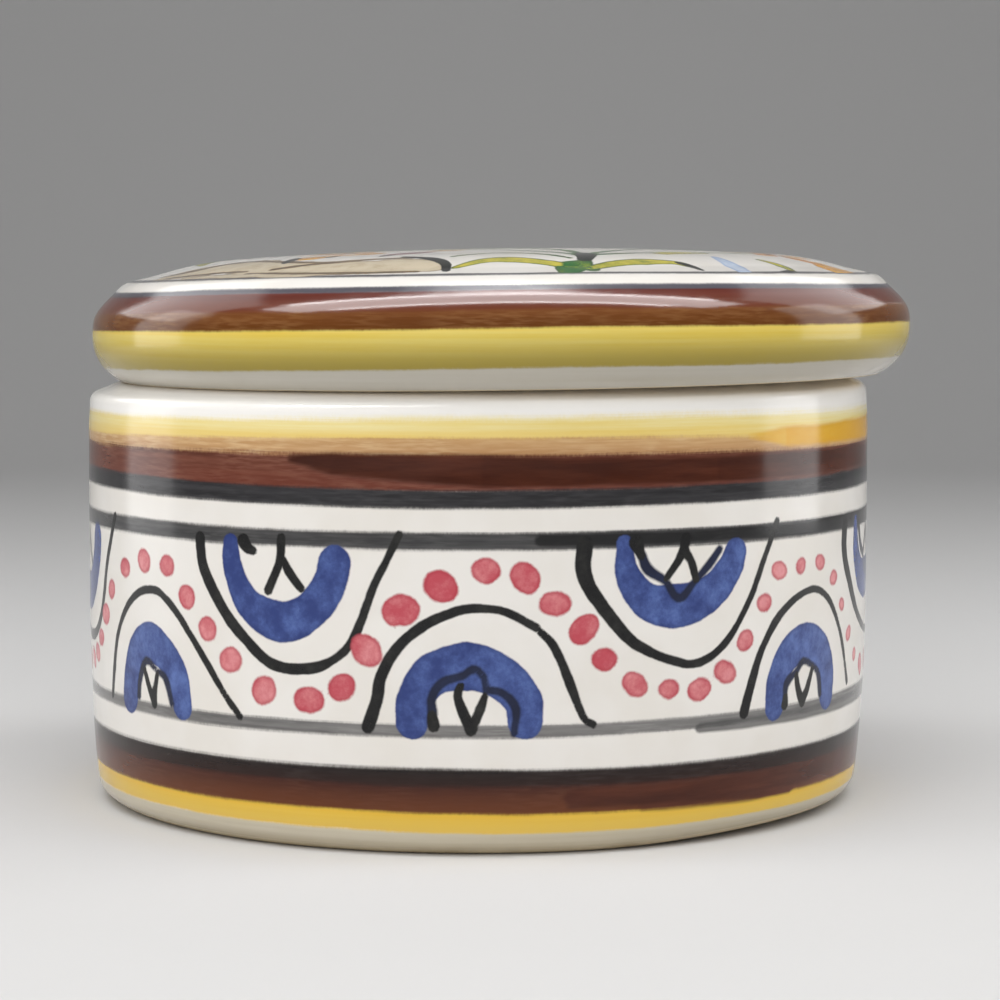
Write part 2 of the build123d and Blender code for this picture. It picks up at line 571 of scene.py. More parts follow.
@dataclass(frozen=True)
class Flower:
    """A round flower of single petal strokes.

    Attributes:
        centre: Where it sits on the lid.
        petals: How many petals it has.
        span: How far the petals reach.
        colour: The petals' pigment.
        heart: The pigment of its middle.
        turn: How far it is turned, in degrees.
    """

    centre: Point
    petals: int
    span: float
    colour: Pigment
    heart: Pigment
    turn: float = 0.0

    def strokes(self) -> Design:
        """Lists the petals, their dark ribs and the heart.

        Returns:
            Each stroke with its pigment.
        """
        x, y = self.centre
        made: Design = []
        width = 2.2 * self.span / self.petals
        for petal in range(self.petals):
            angle = math.radians(self.turn) + math.tau * petal / self.petals
            long = self.span * (1.0 + 0.12 * math.sin(3.1 * petal + x))
            reaches = (0.25 * long, 0.3 * long, 0.62 * long, long)
            spoke = [(x + reach * math.cos(angle), y + reach * math.sin(angle)) for reach in reaches]
            tip = (spoke[3][0] + 0.4 * math.sin(angle), spoke[3][1] - 0.4 * math.cos(angle))
            load = 0.75 + 0.2 * math.cos(2.3 * petal + y)
            widths = (0.5 * width, 1.5 * width, 0.9 * width)
            made.append((self.colour, BrushStroke((spoke[1], tip), widths, load)))
            rib = (spoke[0], spoke[2])
            made.append((Pigment.OUTLINE, BrushStroke(rib, (0.7, 0.7, 0.5), 0.7, 0.3)))
        dab = 0.3 * self.span
        made.append((self.heart, BrushStroke(((x - 0.2, y), (x + 0.2, y + 0.1)), (dab, 1.1 * dab, dab))))
        return made


@dataclass(frozen=True)
class FlowerSpray:
    """A loose spray of flowers and leaves, seen from above on the lid, with its front edge below.

    Attributes:
        flowers: The flowers, back to front.
        leaves: Leaf strokes as points, width and load, where little load leaves a leaf yellow.
        stems: Thin green stems as points and width.
        petals: Single petals as pigment, points and width.
        ground: Broad pale strokes that the spray lies on.
        contours: Brown lines round that ground.
        ties: Dark strokes where the stems are tied.
        edge: The radius that no stroke passes.
    """

    flowers: tuple[Flower, ...] = (
        Flower((-1.0, 9.0), 9, 11.0, Pigment.OCHRE, Pigment.PLUM, 12.0),
        Flower((-24.0, 1.0), 7, 8.5, Pigment.PLUM, Pigment.OCHRE, 30.0),
        Flower((23.0, 6.0), 8, 8.0, Pigment.SKY, Pigment.OCHRE, 5.0),
        Flower((-19.4, -17.4), 6, 4.7, Pigment.OCHRE, Pigment.PLUM, 20.0),
        Flower((33.4, -14.6), 5, 4.8, Pigment.OCHRE, Pigment.PLUM, 40.0),
        Flower((4.0, 31.0), 6, 6.0, Pigment.SKY, Pigment.PLUM, 10.0),
    )
    leaves: tuple[tuple[tuple[Point, ...], float, float], ...] = (
        (((7.6, -46.0), (8.2, -43.4), (9.8, -40.2)), 4.4, 1.0),
        (((10.4, -44.4), (8.6, -42.4), (6.6, -44.6)), 3.2, 0.9),
        (((7.4, -43.1), (4.5, -41.5), (0.8, -40.2), (-2.1, -40.8), (-5.4, -43.6)), 3.4, 0.42),
        (((10.6, -43.4), (13.8, -40.2), (17.3, -38.2), (20.4, -37.4), (22.6, -39.0)), 3.0, 0.5),
        (((8.0, -38.9), (4.6, -35.6), (-0.1, -32.6), (-5.6, -37.0)), 1.4, 0.75),
        (((19.0, -30.5), (21.2, -27.0), (24.4, -26.0)), 4.2, 0.35),
        (((3.4, -12.0), (-3.0, -9.5), (-9.0, -12.0)), 3.4, 0.6),
        (((19.5, -9.0), (26.0, -8.0), (31.0, -5.0)), 3.2, 0.8),
        (((-12.0, -11.5), (-20.0, -10.0), (-27.0, -13.0)), 3.2, 0.55),
        (((-2.0, 19.0), (-9.0, 24.0), (-17.0, 24.5)), 4.0, 0.8),
        (((3.0, 19.0), (11.0, 22.5), (18.0, 21.0)), 4.0, 0.6),
        (((-27.0, 9.0), (-31.0, 15.0), (-30.0, 22.0)), 3.2, 0.7),
        (((27.0, 14.0), (31.5, 18.0), (31.0, 25.0)), 3.0, 0.5),
        (((31.0, -26.8), (33.4, -28.4), (34.6, -31.6)), 1.8, 0.55),
        (((-33.0, -3.0), (-37.0, -8.0), (-37.0, -15.0)), 3.0, 0.55),
    )
    stems: Lines = (
        (((9.4, -38.0), (7.6, -24.0), (2.6, -10.0), (0.0, 1.0)), 1.3),
        (((8.8, -36.0), (0.0, -22.0), (-14.0, -10.0), (-20.0, -5.0)), 1.2),
        (((10.0, -36.0), (15.0, -20.0), (20.0, -8.0), (22.0, 0.0)), 1.2),
        (((10.4, -36.0), (19.0, -28.5), (27.0, -22.0), (32.0, -16.4)), 1.15),
        (((0.4, 18.0), (1.4, 23.0), (3.4, 28.4)), 1.15),
    )
    petals: tuple[tuple[Pigment, tuple[Point, ...], float], ...] = (
        (Pigment.OCHRE, ((-24.4, -27.6), (-22.6, -28.6), (-20.6, -27.0)), 4.0),
        (Pigment.OCHRE, ((-19.2, -25.2), (-17.0, -25.6), (-14.8, -23.4)), 4.2),
        (Pigment.PLUM, ((-13.6, -30.2), (-11.4, -28.6), (-8.8, -25.2)), 3.4),
        (Pigment.OCHRE, ((-8.4, -21.6), (-6.8, -20.2), (-5.0, -18.6)), 3.2),
        (Pigment.SKY, ((25.4, -30.2), (27.6, -35.6), (28.8, -39.6)), 2.6),
        (Pigment.OCHRE, ((39.4, -17.0), (40.8, -20.2), (41.4, -23.8)), 5.2),
    )
    ground: Lines = (
        (((-40.0, -20.5), (-35.0, -24.0), (-29.0, -28.0)), 8.0),
        (((-31.0, -28.0), (-24.0, -36.6), (-15.0, -40.0)), 8.4),
        (((-18.0, -39.4), (-12.0, -40.8), (-8.4, -42.4)), 7.4),
        (((-38.0, -27.0), (-30.0, -34.8), (-22.0, -40.4)), 2.6),
    )
    contours: Lines = (
        (((-41.5, -17.5), (-37.6, -20.4), (-33.0, -21.6), (-28.6, -24.6)), 1.5),
        (((-30.4, -23.0), (-26.6, -28.4), (-22.0, -33.6), (-17.6, -35.6)), 1.3),
        (((-27.0, -33.8), (-20.0, -35.2), (-14.6, -35.9), (-10.4, -36.6)), 1.7),
        (((-41.0, -21.6), (-36.6, -26.0), (-30.2, -31.8)), 1.2),
        (((-30.0, -33.4), (-24.2, -38.4), (-17.0, -42.6), (-9.6, -44.6)), 1.1),
    )
    ties: Lines = (
        (((-11.4, -35.4), (-8.6, -37.6), (-6.6, -41.0), (-6.3, -45.0)), 1.5),
        (((9.6, -39.6), (9.9, -36.4), (9.4, -33.0)), 2.6),
        (((20.6, -37.2), (22.0, -38.2), (23.2, -40.0)), 1.2),
        (((33.0, -35.6), (33.6, -33.6), (34.4, -31.6)), 1.7),
        (((-25.6, -30.6), (-25.0, -28.4), (-24.4, -26.8)), 1.7),
        (((-20.6, -29.6), (-19.8, -28.0)), 1.5),
        (((-14.0, -33.0), (-12.8, -31.4)), 1.5),
    )
    edge: float = 47.6

    def strokes(self) -> Design:
        """Lists every stroke of the spray on the flat of the lid.

        Returns:
            Each stroke with its pigment.
        """
        made: Design = []
        for points, width in self.ground:
            widths = (0.6 * width, width, 0.7 * width)
            made.append((Pigment.EARTH, BrushStroke(points, widths, 0.35)))
        for points, width in self.contours:
            widths = (0.6 * width, width, 0.7 * width)
            made.append((Pigment.UMBER, BrushStroke(points, widths, 0.7)))
        for pigment, points, width in self.petals:
            widths = (0.5 * width, width, 0.6 * width)
            made.append((pigment, BrushStroke(points, widths, 0.7)))
        for points, width, load in self.leaves:
            widths = (0.6 * width, width, max(0.8, 0.3 * width))
            made.append((Pigment.LEAF, BrushStroke(points, widths, load)))
        for points, width in self.stems:
            widths = (width, width, 0.9 * width)
            made.append((Pigment.LEAF, BrushStroke(points, widths)))
        for points, width in self.ties:
            widths = (0.7 * width, width, 0.7 * width)
            made.append((Pigment.OUTLINE, BrushStroke(points, widths)))
        for flower in self.flowers:
            made += flower.strokes()
        return made


class NodeDesk:
    """Places nodes in one tree and links them."""

    def __init__(self, tree: bpy.types.NodeTree) -> None:
        """Takes the tree to work on."""
        self.tree = tree
        self.placed = 0

    def add(
        self, kind: str, feeds: dict[str | int, Feed] | None = None, **settings: object
    ) -> bpy.types.Node:
        """Places a node, sets it up and feeds its inputs.

        Args:
            kind: The type of the node.
            feeds: What goes into each input: a socket to link, or a plain value.
            settings: The node's own properties.

        Returns:
            The node.
        """
        node = self.tree.nodes.new(kind)
        node.location = (220.0 * (self.placed // 5), -190.0 * (self.placed % 5))
        self.placed += 1
        for name, value in settings.items():
            setattr(node, name, value)
        for name, value in (feeds or {}).items():
            self.feed(node.inputs[name], value)
        return node

    def feed(self, socket: Socket, value: Feed) -> None:
        """Links a socket to an input, or writes a plain value there.

        Args:
            socket: The input.
            value: The socket to link, or the plain value.
        """
        if isinstance(value, Socket):
            self.tree.links.new(value, socket)
        else:
            socket.default_value = value

    def math(self, operation: str, *values: Feed) -> Socket:
        """Works one sum and gives its result."""
        node = self.add("ShaderNodeMath", dict(enumerate(values)), operation=operation)
        return node.outputs[0]

    def scaled(self, vector: Feed, scale: Triple) -> Socket:
        """Stretches a vector along each axis."""
        node = self.add("ShaderNodeVectorMath", {0: vector, 1: scale}, operation="MULTIPLY")
        return node.outputs[0]

    def ease(self, value: Feed, start: Feed, end: Feed) -> Socket:
        """Rises smoothly from 0 to 1.

        Args:
            value: What the rise follows.
            start: Where it is 0.
            end: Where it is 1.

        Returns:
            The risen value.
        """
        feeds = {"Value": value, "From Min": start, "From Max": end, "To Min": 0.0, "To Max": 1.0}
        node = self.add("ShaderNodeMapRange", feeds, interpolation_type="SMOOTHSTEP")
        return node.outputs["Result"]

    def span(self, value: Feed, low: Feed, high: Feed) -> Socket:
        """Spreads a value that runs from 0 to 1 over low to high."""
        feeds = {"Value": value, "From Min": 0.0, "From Max": 1.0, "To Min": low, "To Max": high}
        return self.add("ShaderNodeMapRange", feeds).outputs["Result"]

    def mix(self, share: Feed, first: Feed, second: Feed) -> Socket:
        """Mixes two colours, from the first at 0 to the second at 1.

        Args:
            share: How much of the second colour shows.
            first: The colour at 0.
            second: The colour at 1.

        Returns:
            The mixed colour.
        """
        feeds = {0: share, 6: first, 7: second}
        node = self.add("ShaderNodeMix", feeds, data_type="RGBA", blend_type="MIX")
        return node.outputs[2]

    def cloud(self, vector: Feed, scale: float, detail: float = 2.0, rough: float = 0.5) -> bpy.types.Node:
        """Adds a soft cloud of noise."""
        feeds = {"Vector": vector, "Scale": scale, "Detail": detail, "Roughness": rough}
        return self.add("ShaderNodeTexNoise", feeds)

    def reading(self, name: str) -> Socket:
        """Reads a value that the mesh carries at its vertices."""
        return self.add("ShaderNodeAttribute", attribute_name=name).outputs["Fac"]

    def place(self, group: bpy.types.NodeTree, feeds: dict[str, Feed]) -> bpy.types.Node:
        """Places a node group and feeds it.

        Args:
            group: The group's tree.
            feeds: What goes into each of its inputs.

        Returns:
            The group's node.
        """
        node = self.add("ShaderNodeGroup")
        node.node_tree = group
        for name, value in feeds.items():
            self.feed(node.inputs[name], value)
        return node


class GlazeGroups:
    """The shader node groups that both painted finishes share, each built once."""

    def __init__(self) -> None:
        """Builds every group."""
        self.wheel_band = self.make_wheel_band()
        self.glaze_grit = self.make_glaze_grit()
        self.brush_streaks = self.make_brush_streaks()
        self.stroke_ink = self.make_stroke_ink()
        self.tin_glaze = self.make_tin_glaze()
        self.bare_clay = self.make_bare_clay()

    @staticmethod
    def start(
        name: str, inputs: dict[str, SocketKind], outputs: dict[str, SocketKind]
    ) -> tuple[NodeDesk, bpy.types.Node, bpy.types.Node]:
        """Opens a new node group.

        Args:
            name: The group's name.
            inputs: Its inputs and their kinds, in order.
            outputs: Its outputs and their kinds, in order.

        Returns:
            A desk on the group's tree, its input node and its output node.
        """
        tree = bpy.data.node_groups.new(name, "ShaderNodeTree")
        for side, sockets in (("INPUT", inputs), ("OUTPUT", outputs)):
            for socket, kind in sockets.items():
                tree.interface.new_socket(name=socket, in_out=side, socket_type=kind.value)
        desk = NodeDesk(tree)
        return desk, desk.add("NodeGroupInput"), desk.add("NodeGroupOutput")

    def make_wheel_band(self) -> bpy.types.NodeTree:
        """A band laid while the wheel turns: level, with streaky borders that wander a little.

        Returns:
            The group's tree.
        """
        desk, given, result = self.start(
            "Wheel Band",
            {
                "Place": SocketKind.VECTOR,
                "Level": SocketKind.VALUE,
                "Low": SocketKind.VALUE,
                "High": SocketKind.VALUE,
                "Soft": SocketKind.VALUE,
                "Wander": SocketKind.VALUE,
                "Grain": SocketKind.VALUE,
            },
            {"Mask": SocketKind.VALUE},
        )
        slow = desk.cloud(desk.scaled(given.outputs["Place"], (1.0, 1.0, 2.0)), 0.045, 2.0)
        fine = desk.cloud(desk.scaled(given.outputs["Place"], (1.0, 1.0, 1.4)), 0.4, 2.0, 0.5)
        slow_parts = desk.add("ShaderNodeSeparateColor", {0: slow.outputs["Color"]})
        fine_parts = desk.add("ShaderNodeSeparateColor", {0: fine.outputs["Color"]})
        edges = []
        for channel, level in (("Red", "Low"), ("Green", "High")):
            drift = desk.math("SUBTRACT", slow_parts.outputs[channel], 0.5)
            fuzz = desk.math("SUBTRACT", fine_parts.outputs[channel], 0.5)
            shift = desk.math("MULTIPLY_ADD", fuzz, 0.4, drift)
            shift = desk.math("MULTIPLY", shift, given.outputs["Wander"])
            height = desk.math("MULTIPLY_ADD", shift, 2.0, given.outputs["Level"])
            start = desk.math("SUBTRACT", given.outputs[level], given.outputs["Soft"])
            end = desk.math("ADD", given.outputs[level], given.outputs["Soft"])
            edges.append(desk.ease(height, start, end))
        inside = desk.math("MULTIPLY", edges[0], desk.math("SUBTRACT", 1.0, edges[1]))
        fibres = desk.cloud(desk.scaled(given.outputs["Place"], (1.0, 1.0, 0.6)), 3.0, 2.0, 0.5)
        hairs = desk.cloud(desk.scaled(given.outputs["Place"], (0.035, 0.035, 2.2)), 1.0, 3.0, 0.6)
        grain = desk.math("MULTIPLY_ADD", hairs.outputs["Fac"], 3.0, fibres.outputs["Fac"])
        grain = desk.math("MULTIPLY", desk.math("SUBTRACT", grain, 2.0), given.outputs["Grain"])
        border = desk.math("MULTIPLY", inside, desk.math("SUBTRACT", 1.0, inside))
        border = desk.math("MULTIPLY", border, 6.0)
        grainy = desk.math("MULTIPLY_ADD", grain, border, inside)
        desk.feed(result.inputs["Mask"], desk.ease(grainy, 0.0, 1.0))
        return desk.tree

    def make_glaze_grit(self) -> bpy.types.NodeTree:
        """Fine dashes where the glaze broke up a band, gathered in patches, and an even grain of them.

        Returns:
            The group's tree.
        """
        desk, given, result = self.start(
            "Glaze Grit",
            {"Place": SocketKind.VECTOR},
            {"Grit": SocketKind.VALUE, "Grain": SocketKind.VALUE},
        )
        fine = desk.cloud(desk.scaled(given.outputs["Place"], (0.14, 0.14, 1.1)), 2.6, 2.0, 0.5)
        patch = desk.cloud(desk.scaled(given.outputs["Place"], (0.7, 0.7, 1.4)), 0.16, 2.0, 0.5)
        gathered = desk.span(desk.ease(patch.outputs["Fac"], 0.4, 0.62), 0.3, 1.0)
        grit = desk.ease(fine.outputs["Fac"], 0.36, 0.72)
        desk.feed(result.inputs["Grit"], desk.math("MULTIPLY", grit, gathered))
        desk.feed(result.inputs["Grain"], desk.ease(fine.outputs["Fac"], 0.3, 0.7))
        return desk.tree

    def make_brush_streaks(self) -> bpy.types.NodeTree:
        """Level streaks that the brush hairs leave in a turned band, and slow patches of depth.

        Returns:
            The group's tree.
        """
        desk, given, result = self.start(
            "Brush Streaks",
            {"Place": SocketKind.VECTOR},
            {"Streak": SocketKind.VALUE, "Patch": SocketKind.VALUE},
        )
        hairs = desk.cloud(desk.scaled(given.outputs["Place"], (0.025, 0.025, 1.5)), 1.0, 4.0, 0.55)
        patch = desk.cloud(desk.scaled(given.outputs["Place"], (0.03, 0.03, 0.22)), 1.0, 2.0, 0.5)
        desk.feed(result.inputs["Streak"], desk.ease(hairs.outputs["Fac"], 0.3, 0.7))
        desk.feed(result.inputs["Patch"], desk.ease(patch.outputs["Fac"], 0.32, 0.68))
        return desk.tree

    def make_stroke_ink(self) -> bpy.types.NodeTree:
        """Pigment from one brush colour: where it lies, and how deep it is there.

        Returns:
            The group's tree.
        """
        desk, given, result = self.start(
            "Stroke Ink",
            {
                "Place": SocketKind.VECTOR,
                "Reach": SocketKind.VALUE,
                "Load": SocketKind.VALUE,
                "Soft": SocketKind.VALUE,
                "Ragged": SocketKind.VALUE,
                "Pool Width": SocketKind.VALUE,
            },
            {"Mask": SocketKind.VALUE, "Pool": SocketKind.VALUE, "Depth": SocketKind.VALUE},
        )
        edge = desk.cloud(given.outputs["Place"], 0.75, 3.0, 0.6)
        press = desk.cloud(given.outputs["Place"], 0.2, 1.0, 0.5)
        shift = desk.math("MULTIPLY_ADD", press.outputs["Fac"], 1.6, edge.outputs["Fac"])
        shift = desk.math("MULTIPLY", desk.math("SUBTRACT", shift, 1.3), given.outputs["Ragged"])
        reach = desk.math("MULTIPLY_ADD", shift, 2.0, given.outputs["Reach"])
        inside = desk.math("MULTIPLY", given.outputs["Soft"], -1.0)
        desk.feed(result.inputs["Mask"], desk.ease(reach, given.outputs["Soft"], inside))
        deep = desk.math("MULTIPLY", given.outputs["Pool Width"], -1.0)
        desk.feed(result.inputs["Pool"], desk.ease(reach, deep, 0.0))
        grain = desk.cloud(given.outputs["Place"], 2.2, 3.0, 0.65)
        wash = desk.cloud(given.outputs["Place"], 0.45, 2.0, 0.5)
        depth = desk.math("MULTIPLY_ADD", grain.outputs["Fac"], 0.4, -0.2)
        depth = desk.math("MULTIPLY_ADD", wash.outputs["Fac"], 0.9, depth)
        depth = desk.math("SUBTRACT", depth, 0.45)
        desk.feed(result.inputs["Depth"], desk.math("ADD", depth, given.outputs["Load"]))
        return desk.tree

    def make_tin_glaze(self) -> bpy.types.NodeTree:
        """White tin glaze: a faintly clouded ground with a few specks, and its skin.

        Returns:
            The group's tree.
        """
        desk, given, result = self.start(
            "Tin Glaze",
            {"Place": SocketKind.VECTOR, "White": SocketKind.COLOUR, "Shade": SocketKind.COLOUR},
            {"Colour": SocketKind.COLOUR, "Roughness": SocketKind.VALUE, "Skin": SocketKind.VALUE},
        )
        cloud = desk.cloud(given.outputs["Place"], 0.09, 3.0, 0.5)
        thinned = desk.ease(cloud.outputs["Fac"], 0.35, 0.7)
        colour = desk.mix(thinned, given.outputs["White"], given.outputs["Shade"])
        cells = desk.add("ShaderNodeTexVoronoi", {"Vector": given.outputs["Place"], "Scale": 0.22})
        speck = desk.math("SUBTRACT", 1.0, desk.ease(cells.outputs["Distance"], 0.02, 0.05))
        parts = desk.add("ShaderNodeSeparateColor", {0: cells.outputs["Color"]})
        speck = desk.math("MULTIPLY", speck, desk.math("GREATER_THAN", parts.outputs[0], 0.9))
        colour = desk.mix(desk.math("MULTIPLY", speck, 0.3), colour, card(150, 124, 100))
        desk.feed(result.inputs["Colour"], colour)
        dull = desk.cloud(given.outputs["Place"], 0.35, 3.0, 0.6)
        desk.feed(result.inputs["Roughness"], desk.span(dull.outputs["Fac"], 0.08, 0.20))
        peel = desk.cloud(given.outputs["Place"], 0.16, 2.0, 0.5)
        skin = desk.math("MULTIPLY_ADD", speck, -0.25, peel.outputs["Fac"])
        desk.feed(result.inputs["Skin"], skin)
        return desk.tree

    def make_bare_clay(self) -> bpy.types.NodeTree:
        """Fired clay where the glaze was wiped away: dry, grainy and buff.

        Returns:
            The group's tree.
        """
        desk, given, result = self.start(
            "Bare Clay",
            {"Place": SocketKind.VECTOR},
            {"Colour": SocketKind.COLOUR, "Skin": SocketKind.VALUE},
        )
        grit = desk.cloud(given.outputs["Place"], 1.3, 5.0, 0.7)
        stain = desk.cloud(given.outputs["Place"], 0.12, 3.0, 0.5)
        colour = desk.mix(grit.outputs["Fac"], card(214, 198, 168), card(188, 170, 138))
        colour = desk.mix(desk.ease(stain.outputs["Fac"], 0.5, 0.75), colour, card(172, 152, 118))
        desk.feed(result.inputs["Colour"], colour)
        desk.feed(result.inputs["Skin"], grit.outputs["Fac"])
        return desk.tree


@dataclass(frozen=True)
class BandPaint:
    """One turned band of pigment.

    Attributes:
        low: Its lower border.
        high: Its upper border.
        thick: Its colour where the brush was full.
        thin: Its colour where the hairs left streaks.
        foot: The colour that it shifts to at its lower border, if any; on the lid's yellow and the body's
            foot strip this is partly painted shade.
        soft: How far its borders fade, to each side.
        wander: How far its borders drift.
        grain: How streaky and grainy its borders are.
        lean: How much lower it runs on the right side than in the middle.
        sag: How much lower it runs on both sides than in the middle.
        grit: The colour of fine grains in it, if any.
        gritty: How strongly those grains show, from 0 to 1.
        axis: What its borders are measured along.
    """

    low: float
    high: float
    thick: Colour
    thin: Colour
    foot: Colour | None = None
    soft: float = 0.3
    wander: float = 0.2
    grain: float = 0.2
    lean: float = 0.0
    sag: float = 0.0
    grit: Colour | None = None
    gritty: float = 0.4
    axis: BandAxis = BandAxis.HEIGHT


@dataclass(frozen=True)
class BrushPaint:
    """How one brush colour looks on the glaze.

    Attributes:
        pigment: The colour's vertex attributes.
        thin: Its colour where little pigment lies.
        deep: Its colour where much of it lies.
        pooled: Its colour along the edges, where it gathered.
        soft: How far its edge fades.
        ragged: How far its edge strays.
        pool: How strongly the edge shows.
        cover: How much of the ground it hides.
        stretch: How much longer along the wall than up it the brush's traces are.
        pool_width: How far in from its edge the pigment gathered.
    """

    pigment: Pigment
    thin: Colour
    deep: Colour
    pooled: Colour
    soft: float = 0.12
    ragged: float = 0.12
    pool: float = 0.5
    cover: float = 1.0
    stretch: float = 1.0
    pool_width: float = 0.6


BODY_BANDS: tuple[BandPaint, ...] = (
    # Painted light: the rim band is painted whiter than the glaze, to lift the shade that the lid's edge
    # casts on the rim.
    BandPaint(low=49.0, high=53.0, thick=card(250, 247, 242), thin=card(245, 242, 236), wander=0.0),
    # The cream strip above the foot, greyer and darker towards the table: partly the glaze's own cream,
    # partly painted shade.
    BandPaint(
        low=-1.0,
        high=3.0,
        thick=card(206, 198, 180),
        thin=card(192, 182, 160),
        foot=card(168, 156, 132),
        soft=0.4,
    ),
    BandPaint(
        low=2.75,
        high=5.8,
        thick=card(224, 178, 44),
        thin=card(231, 192, 70),
        foot=card(222, 186, 84),
        lean=0.3,
    ),
    BandPaint(
        low=5.0,
        high=9.0,
        thick=card(50, 19, 11),
        thin=card(72, 33, 22),
        foot=card(98, 50, 22),
        soft=0.4,
        lean=0.35,
        grit=card(110, 66, 46),
        gritty=0.25,
    ),
    BandPaint(
        low=8.2,
        high=10.2,
        thick=card(20, 14, 13),
        thin=card(36, 26, 24),
        foot=card(40, 20, 14),
        soft=0.5,
        lean=0.25,
        grit=card(70, 60, 58),
        gritty=0.25,
    ),
    BandPaint(
        low=13.9,
        high=15.4,
        thick=card(96, 94, 93),
        thin=card(134, 132, 130),
        soft=0.35,
        grain=0.25,
        grit=card(156, 154, 152),
        gritty=0.35,
    ),
    BandPaint(
        low=35.4,
        high=37.4,
        thick=card(50, 50, 51),
        thin=card(82, 81, 81),
        soft=0.4,
        grain=0.25,
        grit=card(108, 107, 106),
        gritty=0.25,
    ),
    BandPaint(
        low=46.6,
        high=50.4,
        thick=card(236, 211, 120),
        thin=card(243, 233, 180),
        foot=card(230, 195, 107),
        soft=0.95,
        wander=0.35,
        sag=0.7,
    ),
    BandPaint(
        low=45.2,
        high=48.2,
        thick=card(188, 145, 97),
        thin=card(214, 176, 128),
        foot=card(168, 122, 80),
        soft=0.5,
        wander=0.25,
        grain=0.35,
        sag=1.4,
        grit=card(232, 204, 162),
    ),
    BandPaint(
        low=41.8,
        high=46.2,
        thick=card(76, 35, 23),
        thin=card(122, 72, 55),
        foot=card(108, 56, 43),
        soft=0.6,
        wander=0.3,
        grain=0.45,
        sag=0.4,
        grit=card(156, 108, 88),
        gritty=0.3,
    ),
    BandPaint(
        low=40.12,
        high=42.3,
        thick=card(32, 31, 33),
        thin=card(56, 55, 57),
        soft=0.4,
        grain=0.25,
        lean=0.14,
        sag=-0.35,
        grit=card(92, 91, 93),
        gritty=0.2,
    ),
)

BODY_BRUSHES: tuple[BrushPaint, ...] = (
    BrushPaint(
        Pigment.GOLD_COAT,
        thin=card(230, 192, 86),
        deep=card(226, 170, 44),
        pooled=card(210, 158, 46),
        soft=0.3,
        ragged=0.3,
        pool=0.3,
        stretch=6.0,
    ),
    BrushPaint(
        Pigment.BROWN_COAT,
        thin=card(98, 48, 29),
        deep=card(58, 20, 3),
        pooled=card(70, 30, 16),
        soft=0.4,
        ragged=0.45,
        pool=0.2,
        stretch=9.0,
    ),
    BrushPaint(
        Pigment.LINE_COAT,
        thin=card(112, 111, 110),
        deep=card(20, 20, 21),
        pooled=card(36, 36, 36),
        soft=0.25,
        ragged=0.2,
        pool=0.2,
        cover=0.9,
        stretch=6.0,
    ),
    BrushPaint(
        Pigment.COBALT,
        thin=card(98, 122, 186),
        deep=card(46, 62, 120),
        pooled=card(38, 52, 104),
        soft=0.14,
        ragged=0.14,
        pool=0.45,
    ),
    BrushPaint(
        Pigment.INDIGO,
        thin=card(38, 48, 82),
        deep=card(24, 30, 54),
        pooled=card(24, 30, 54),
        soft=0.2,
        ragged=0.1,
        pool=0.2,
    ),
    BrushPaint(
        Pigment.OUTLINE,
        thin=card(58, 58, 54),
        deep=card(20, 20, 21),
        pooled=card(24, 24, 24),
        soft=0.13,
        ragged=0.1,
        pool=0.2,
    ),
    BrushPaint(
        Pigment.ROSE,
        thin=card(226, 150, 152),
        deep=card(190, 74, 86),
        pooled=card(168, 48, 64),
        soft=0.2,
        ragged=0.2,
        pool=0.65,
    ),
)

LID_BANDS: tuple[BandPaint, ...] = (
    # Painted shade: the lid's underside below its yellow band is painted grey, as the shade under the
    # overhanging edge.
    BandPaint(low=53.0, high=56.2, thick=card(190, 185, 174), thin=card(182, 176, 163)),
    BandPaint(
        low=55.95,
        high=61.4,
        thick=card(231, 199, 80),
        thin=card(237, 217, 124),
        # The olive foot colour is partly a thinner glaze run and partly painted shade, darkening the
        # yellow towards the underside.
        foot=card(156, 139, 61),
        wander=0.25,
        lean=-0.15,
        sag=0.4,
    ),
    BandPaint(
        low=60.5,
        high=63.2,
        thick=card(98, 52, 21),
        thin=card(132, 84, 44),
        foot=card(100, 56, 20),
        sag=0.45,
        grit=card(160, 116, 72),
        gritty=0.3,
    ),
    BandPaint(
        low=62.6,
        high=65.0,
        thick=card(84, 31, 25),
        thin=card(106, 52, 42),
        foot=card(106, 54, 34),
        soft=0.4,
    ),
    BandPaint(
        low=64.75,
        high=65.3,
        thick=card(70, 68, 76),
        thin=card(96, 94, 102),
        soft=0.22,
        wander=0.1,
    ),
    BandPaint(
        low=46.9,
        high=47.8,
        thick=card(84, 82, 84),
        thin=card(124, 122, 124),
        soft=0.4,
        wander=0.3,
        axis=BandAxis.DOME_RADIUS,
    ),
)

LID_BRUSHES: tuple[BrushPaint, ...] = (
    BrushPaint(
        Pigment.EARTH,
        thin=card(214, 200, 174),
        deep=card(166, 144, 110),
        pooled=card(112, 88, 58),
        soft=0.2,
        ragged=0.3,
        pool=0.8,
    ),
    BrushPaint(
        Pigment.UMBER,
        thin=card(156, 134, 100),
        deep=card(104, 80, 50),
        pooled=card(96, 72, 46),
        soft=0.2,
        ragged=0.25,
    ),
    BrushPaint(
        Pigment.LEAF,
        thin=card(208, 194, 76),
        deep=card(36, 108, 50),
        pooled=card(44, 84, 38),
        pool=0.8,
    ),
    BrushPaint(
        Pigment.SKY,
        thin=card(212, 222, 236),
        deep=card(162, 182, 214),
        pooled=card(142, 164, 202),
    ),
    BrushPaint(
        Pigment.OCHRE,
        thin=card(238, 196, 90),
        deep=card(218, 138, 40),
        pooled=card(188, 104, 32),
    ),
    BrushPaint(
        Pigment.PLUM,
        thin=card(168, 88, 100),
        deep=card(110, 38, 54),
        pooled=card(88, 30, 44),
    ),
    BrushPaint(
        Pigment.OUTLINE,
        thin=card(84, 84, 76),
        deep=card(32, 34, 32),
        pooled=card(36, 36, 36),
        ragged=0.1,
        pool=0.3,
    ),
)


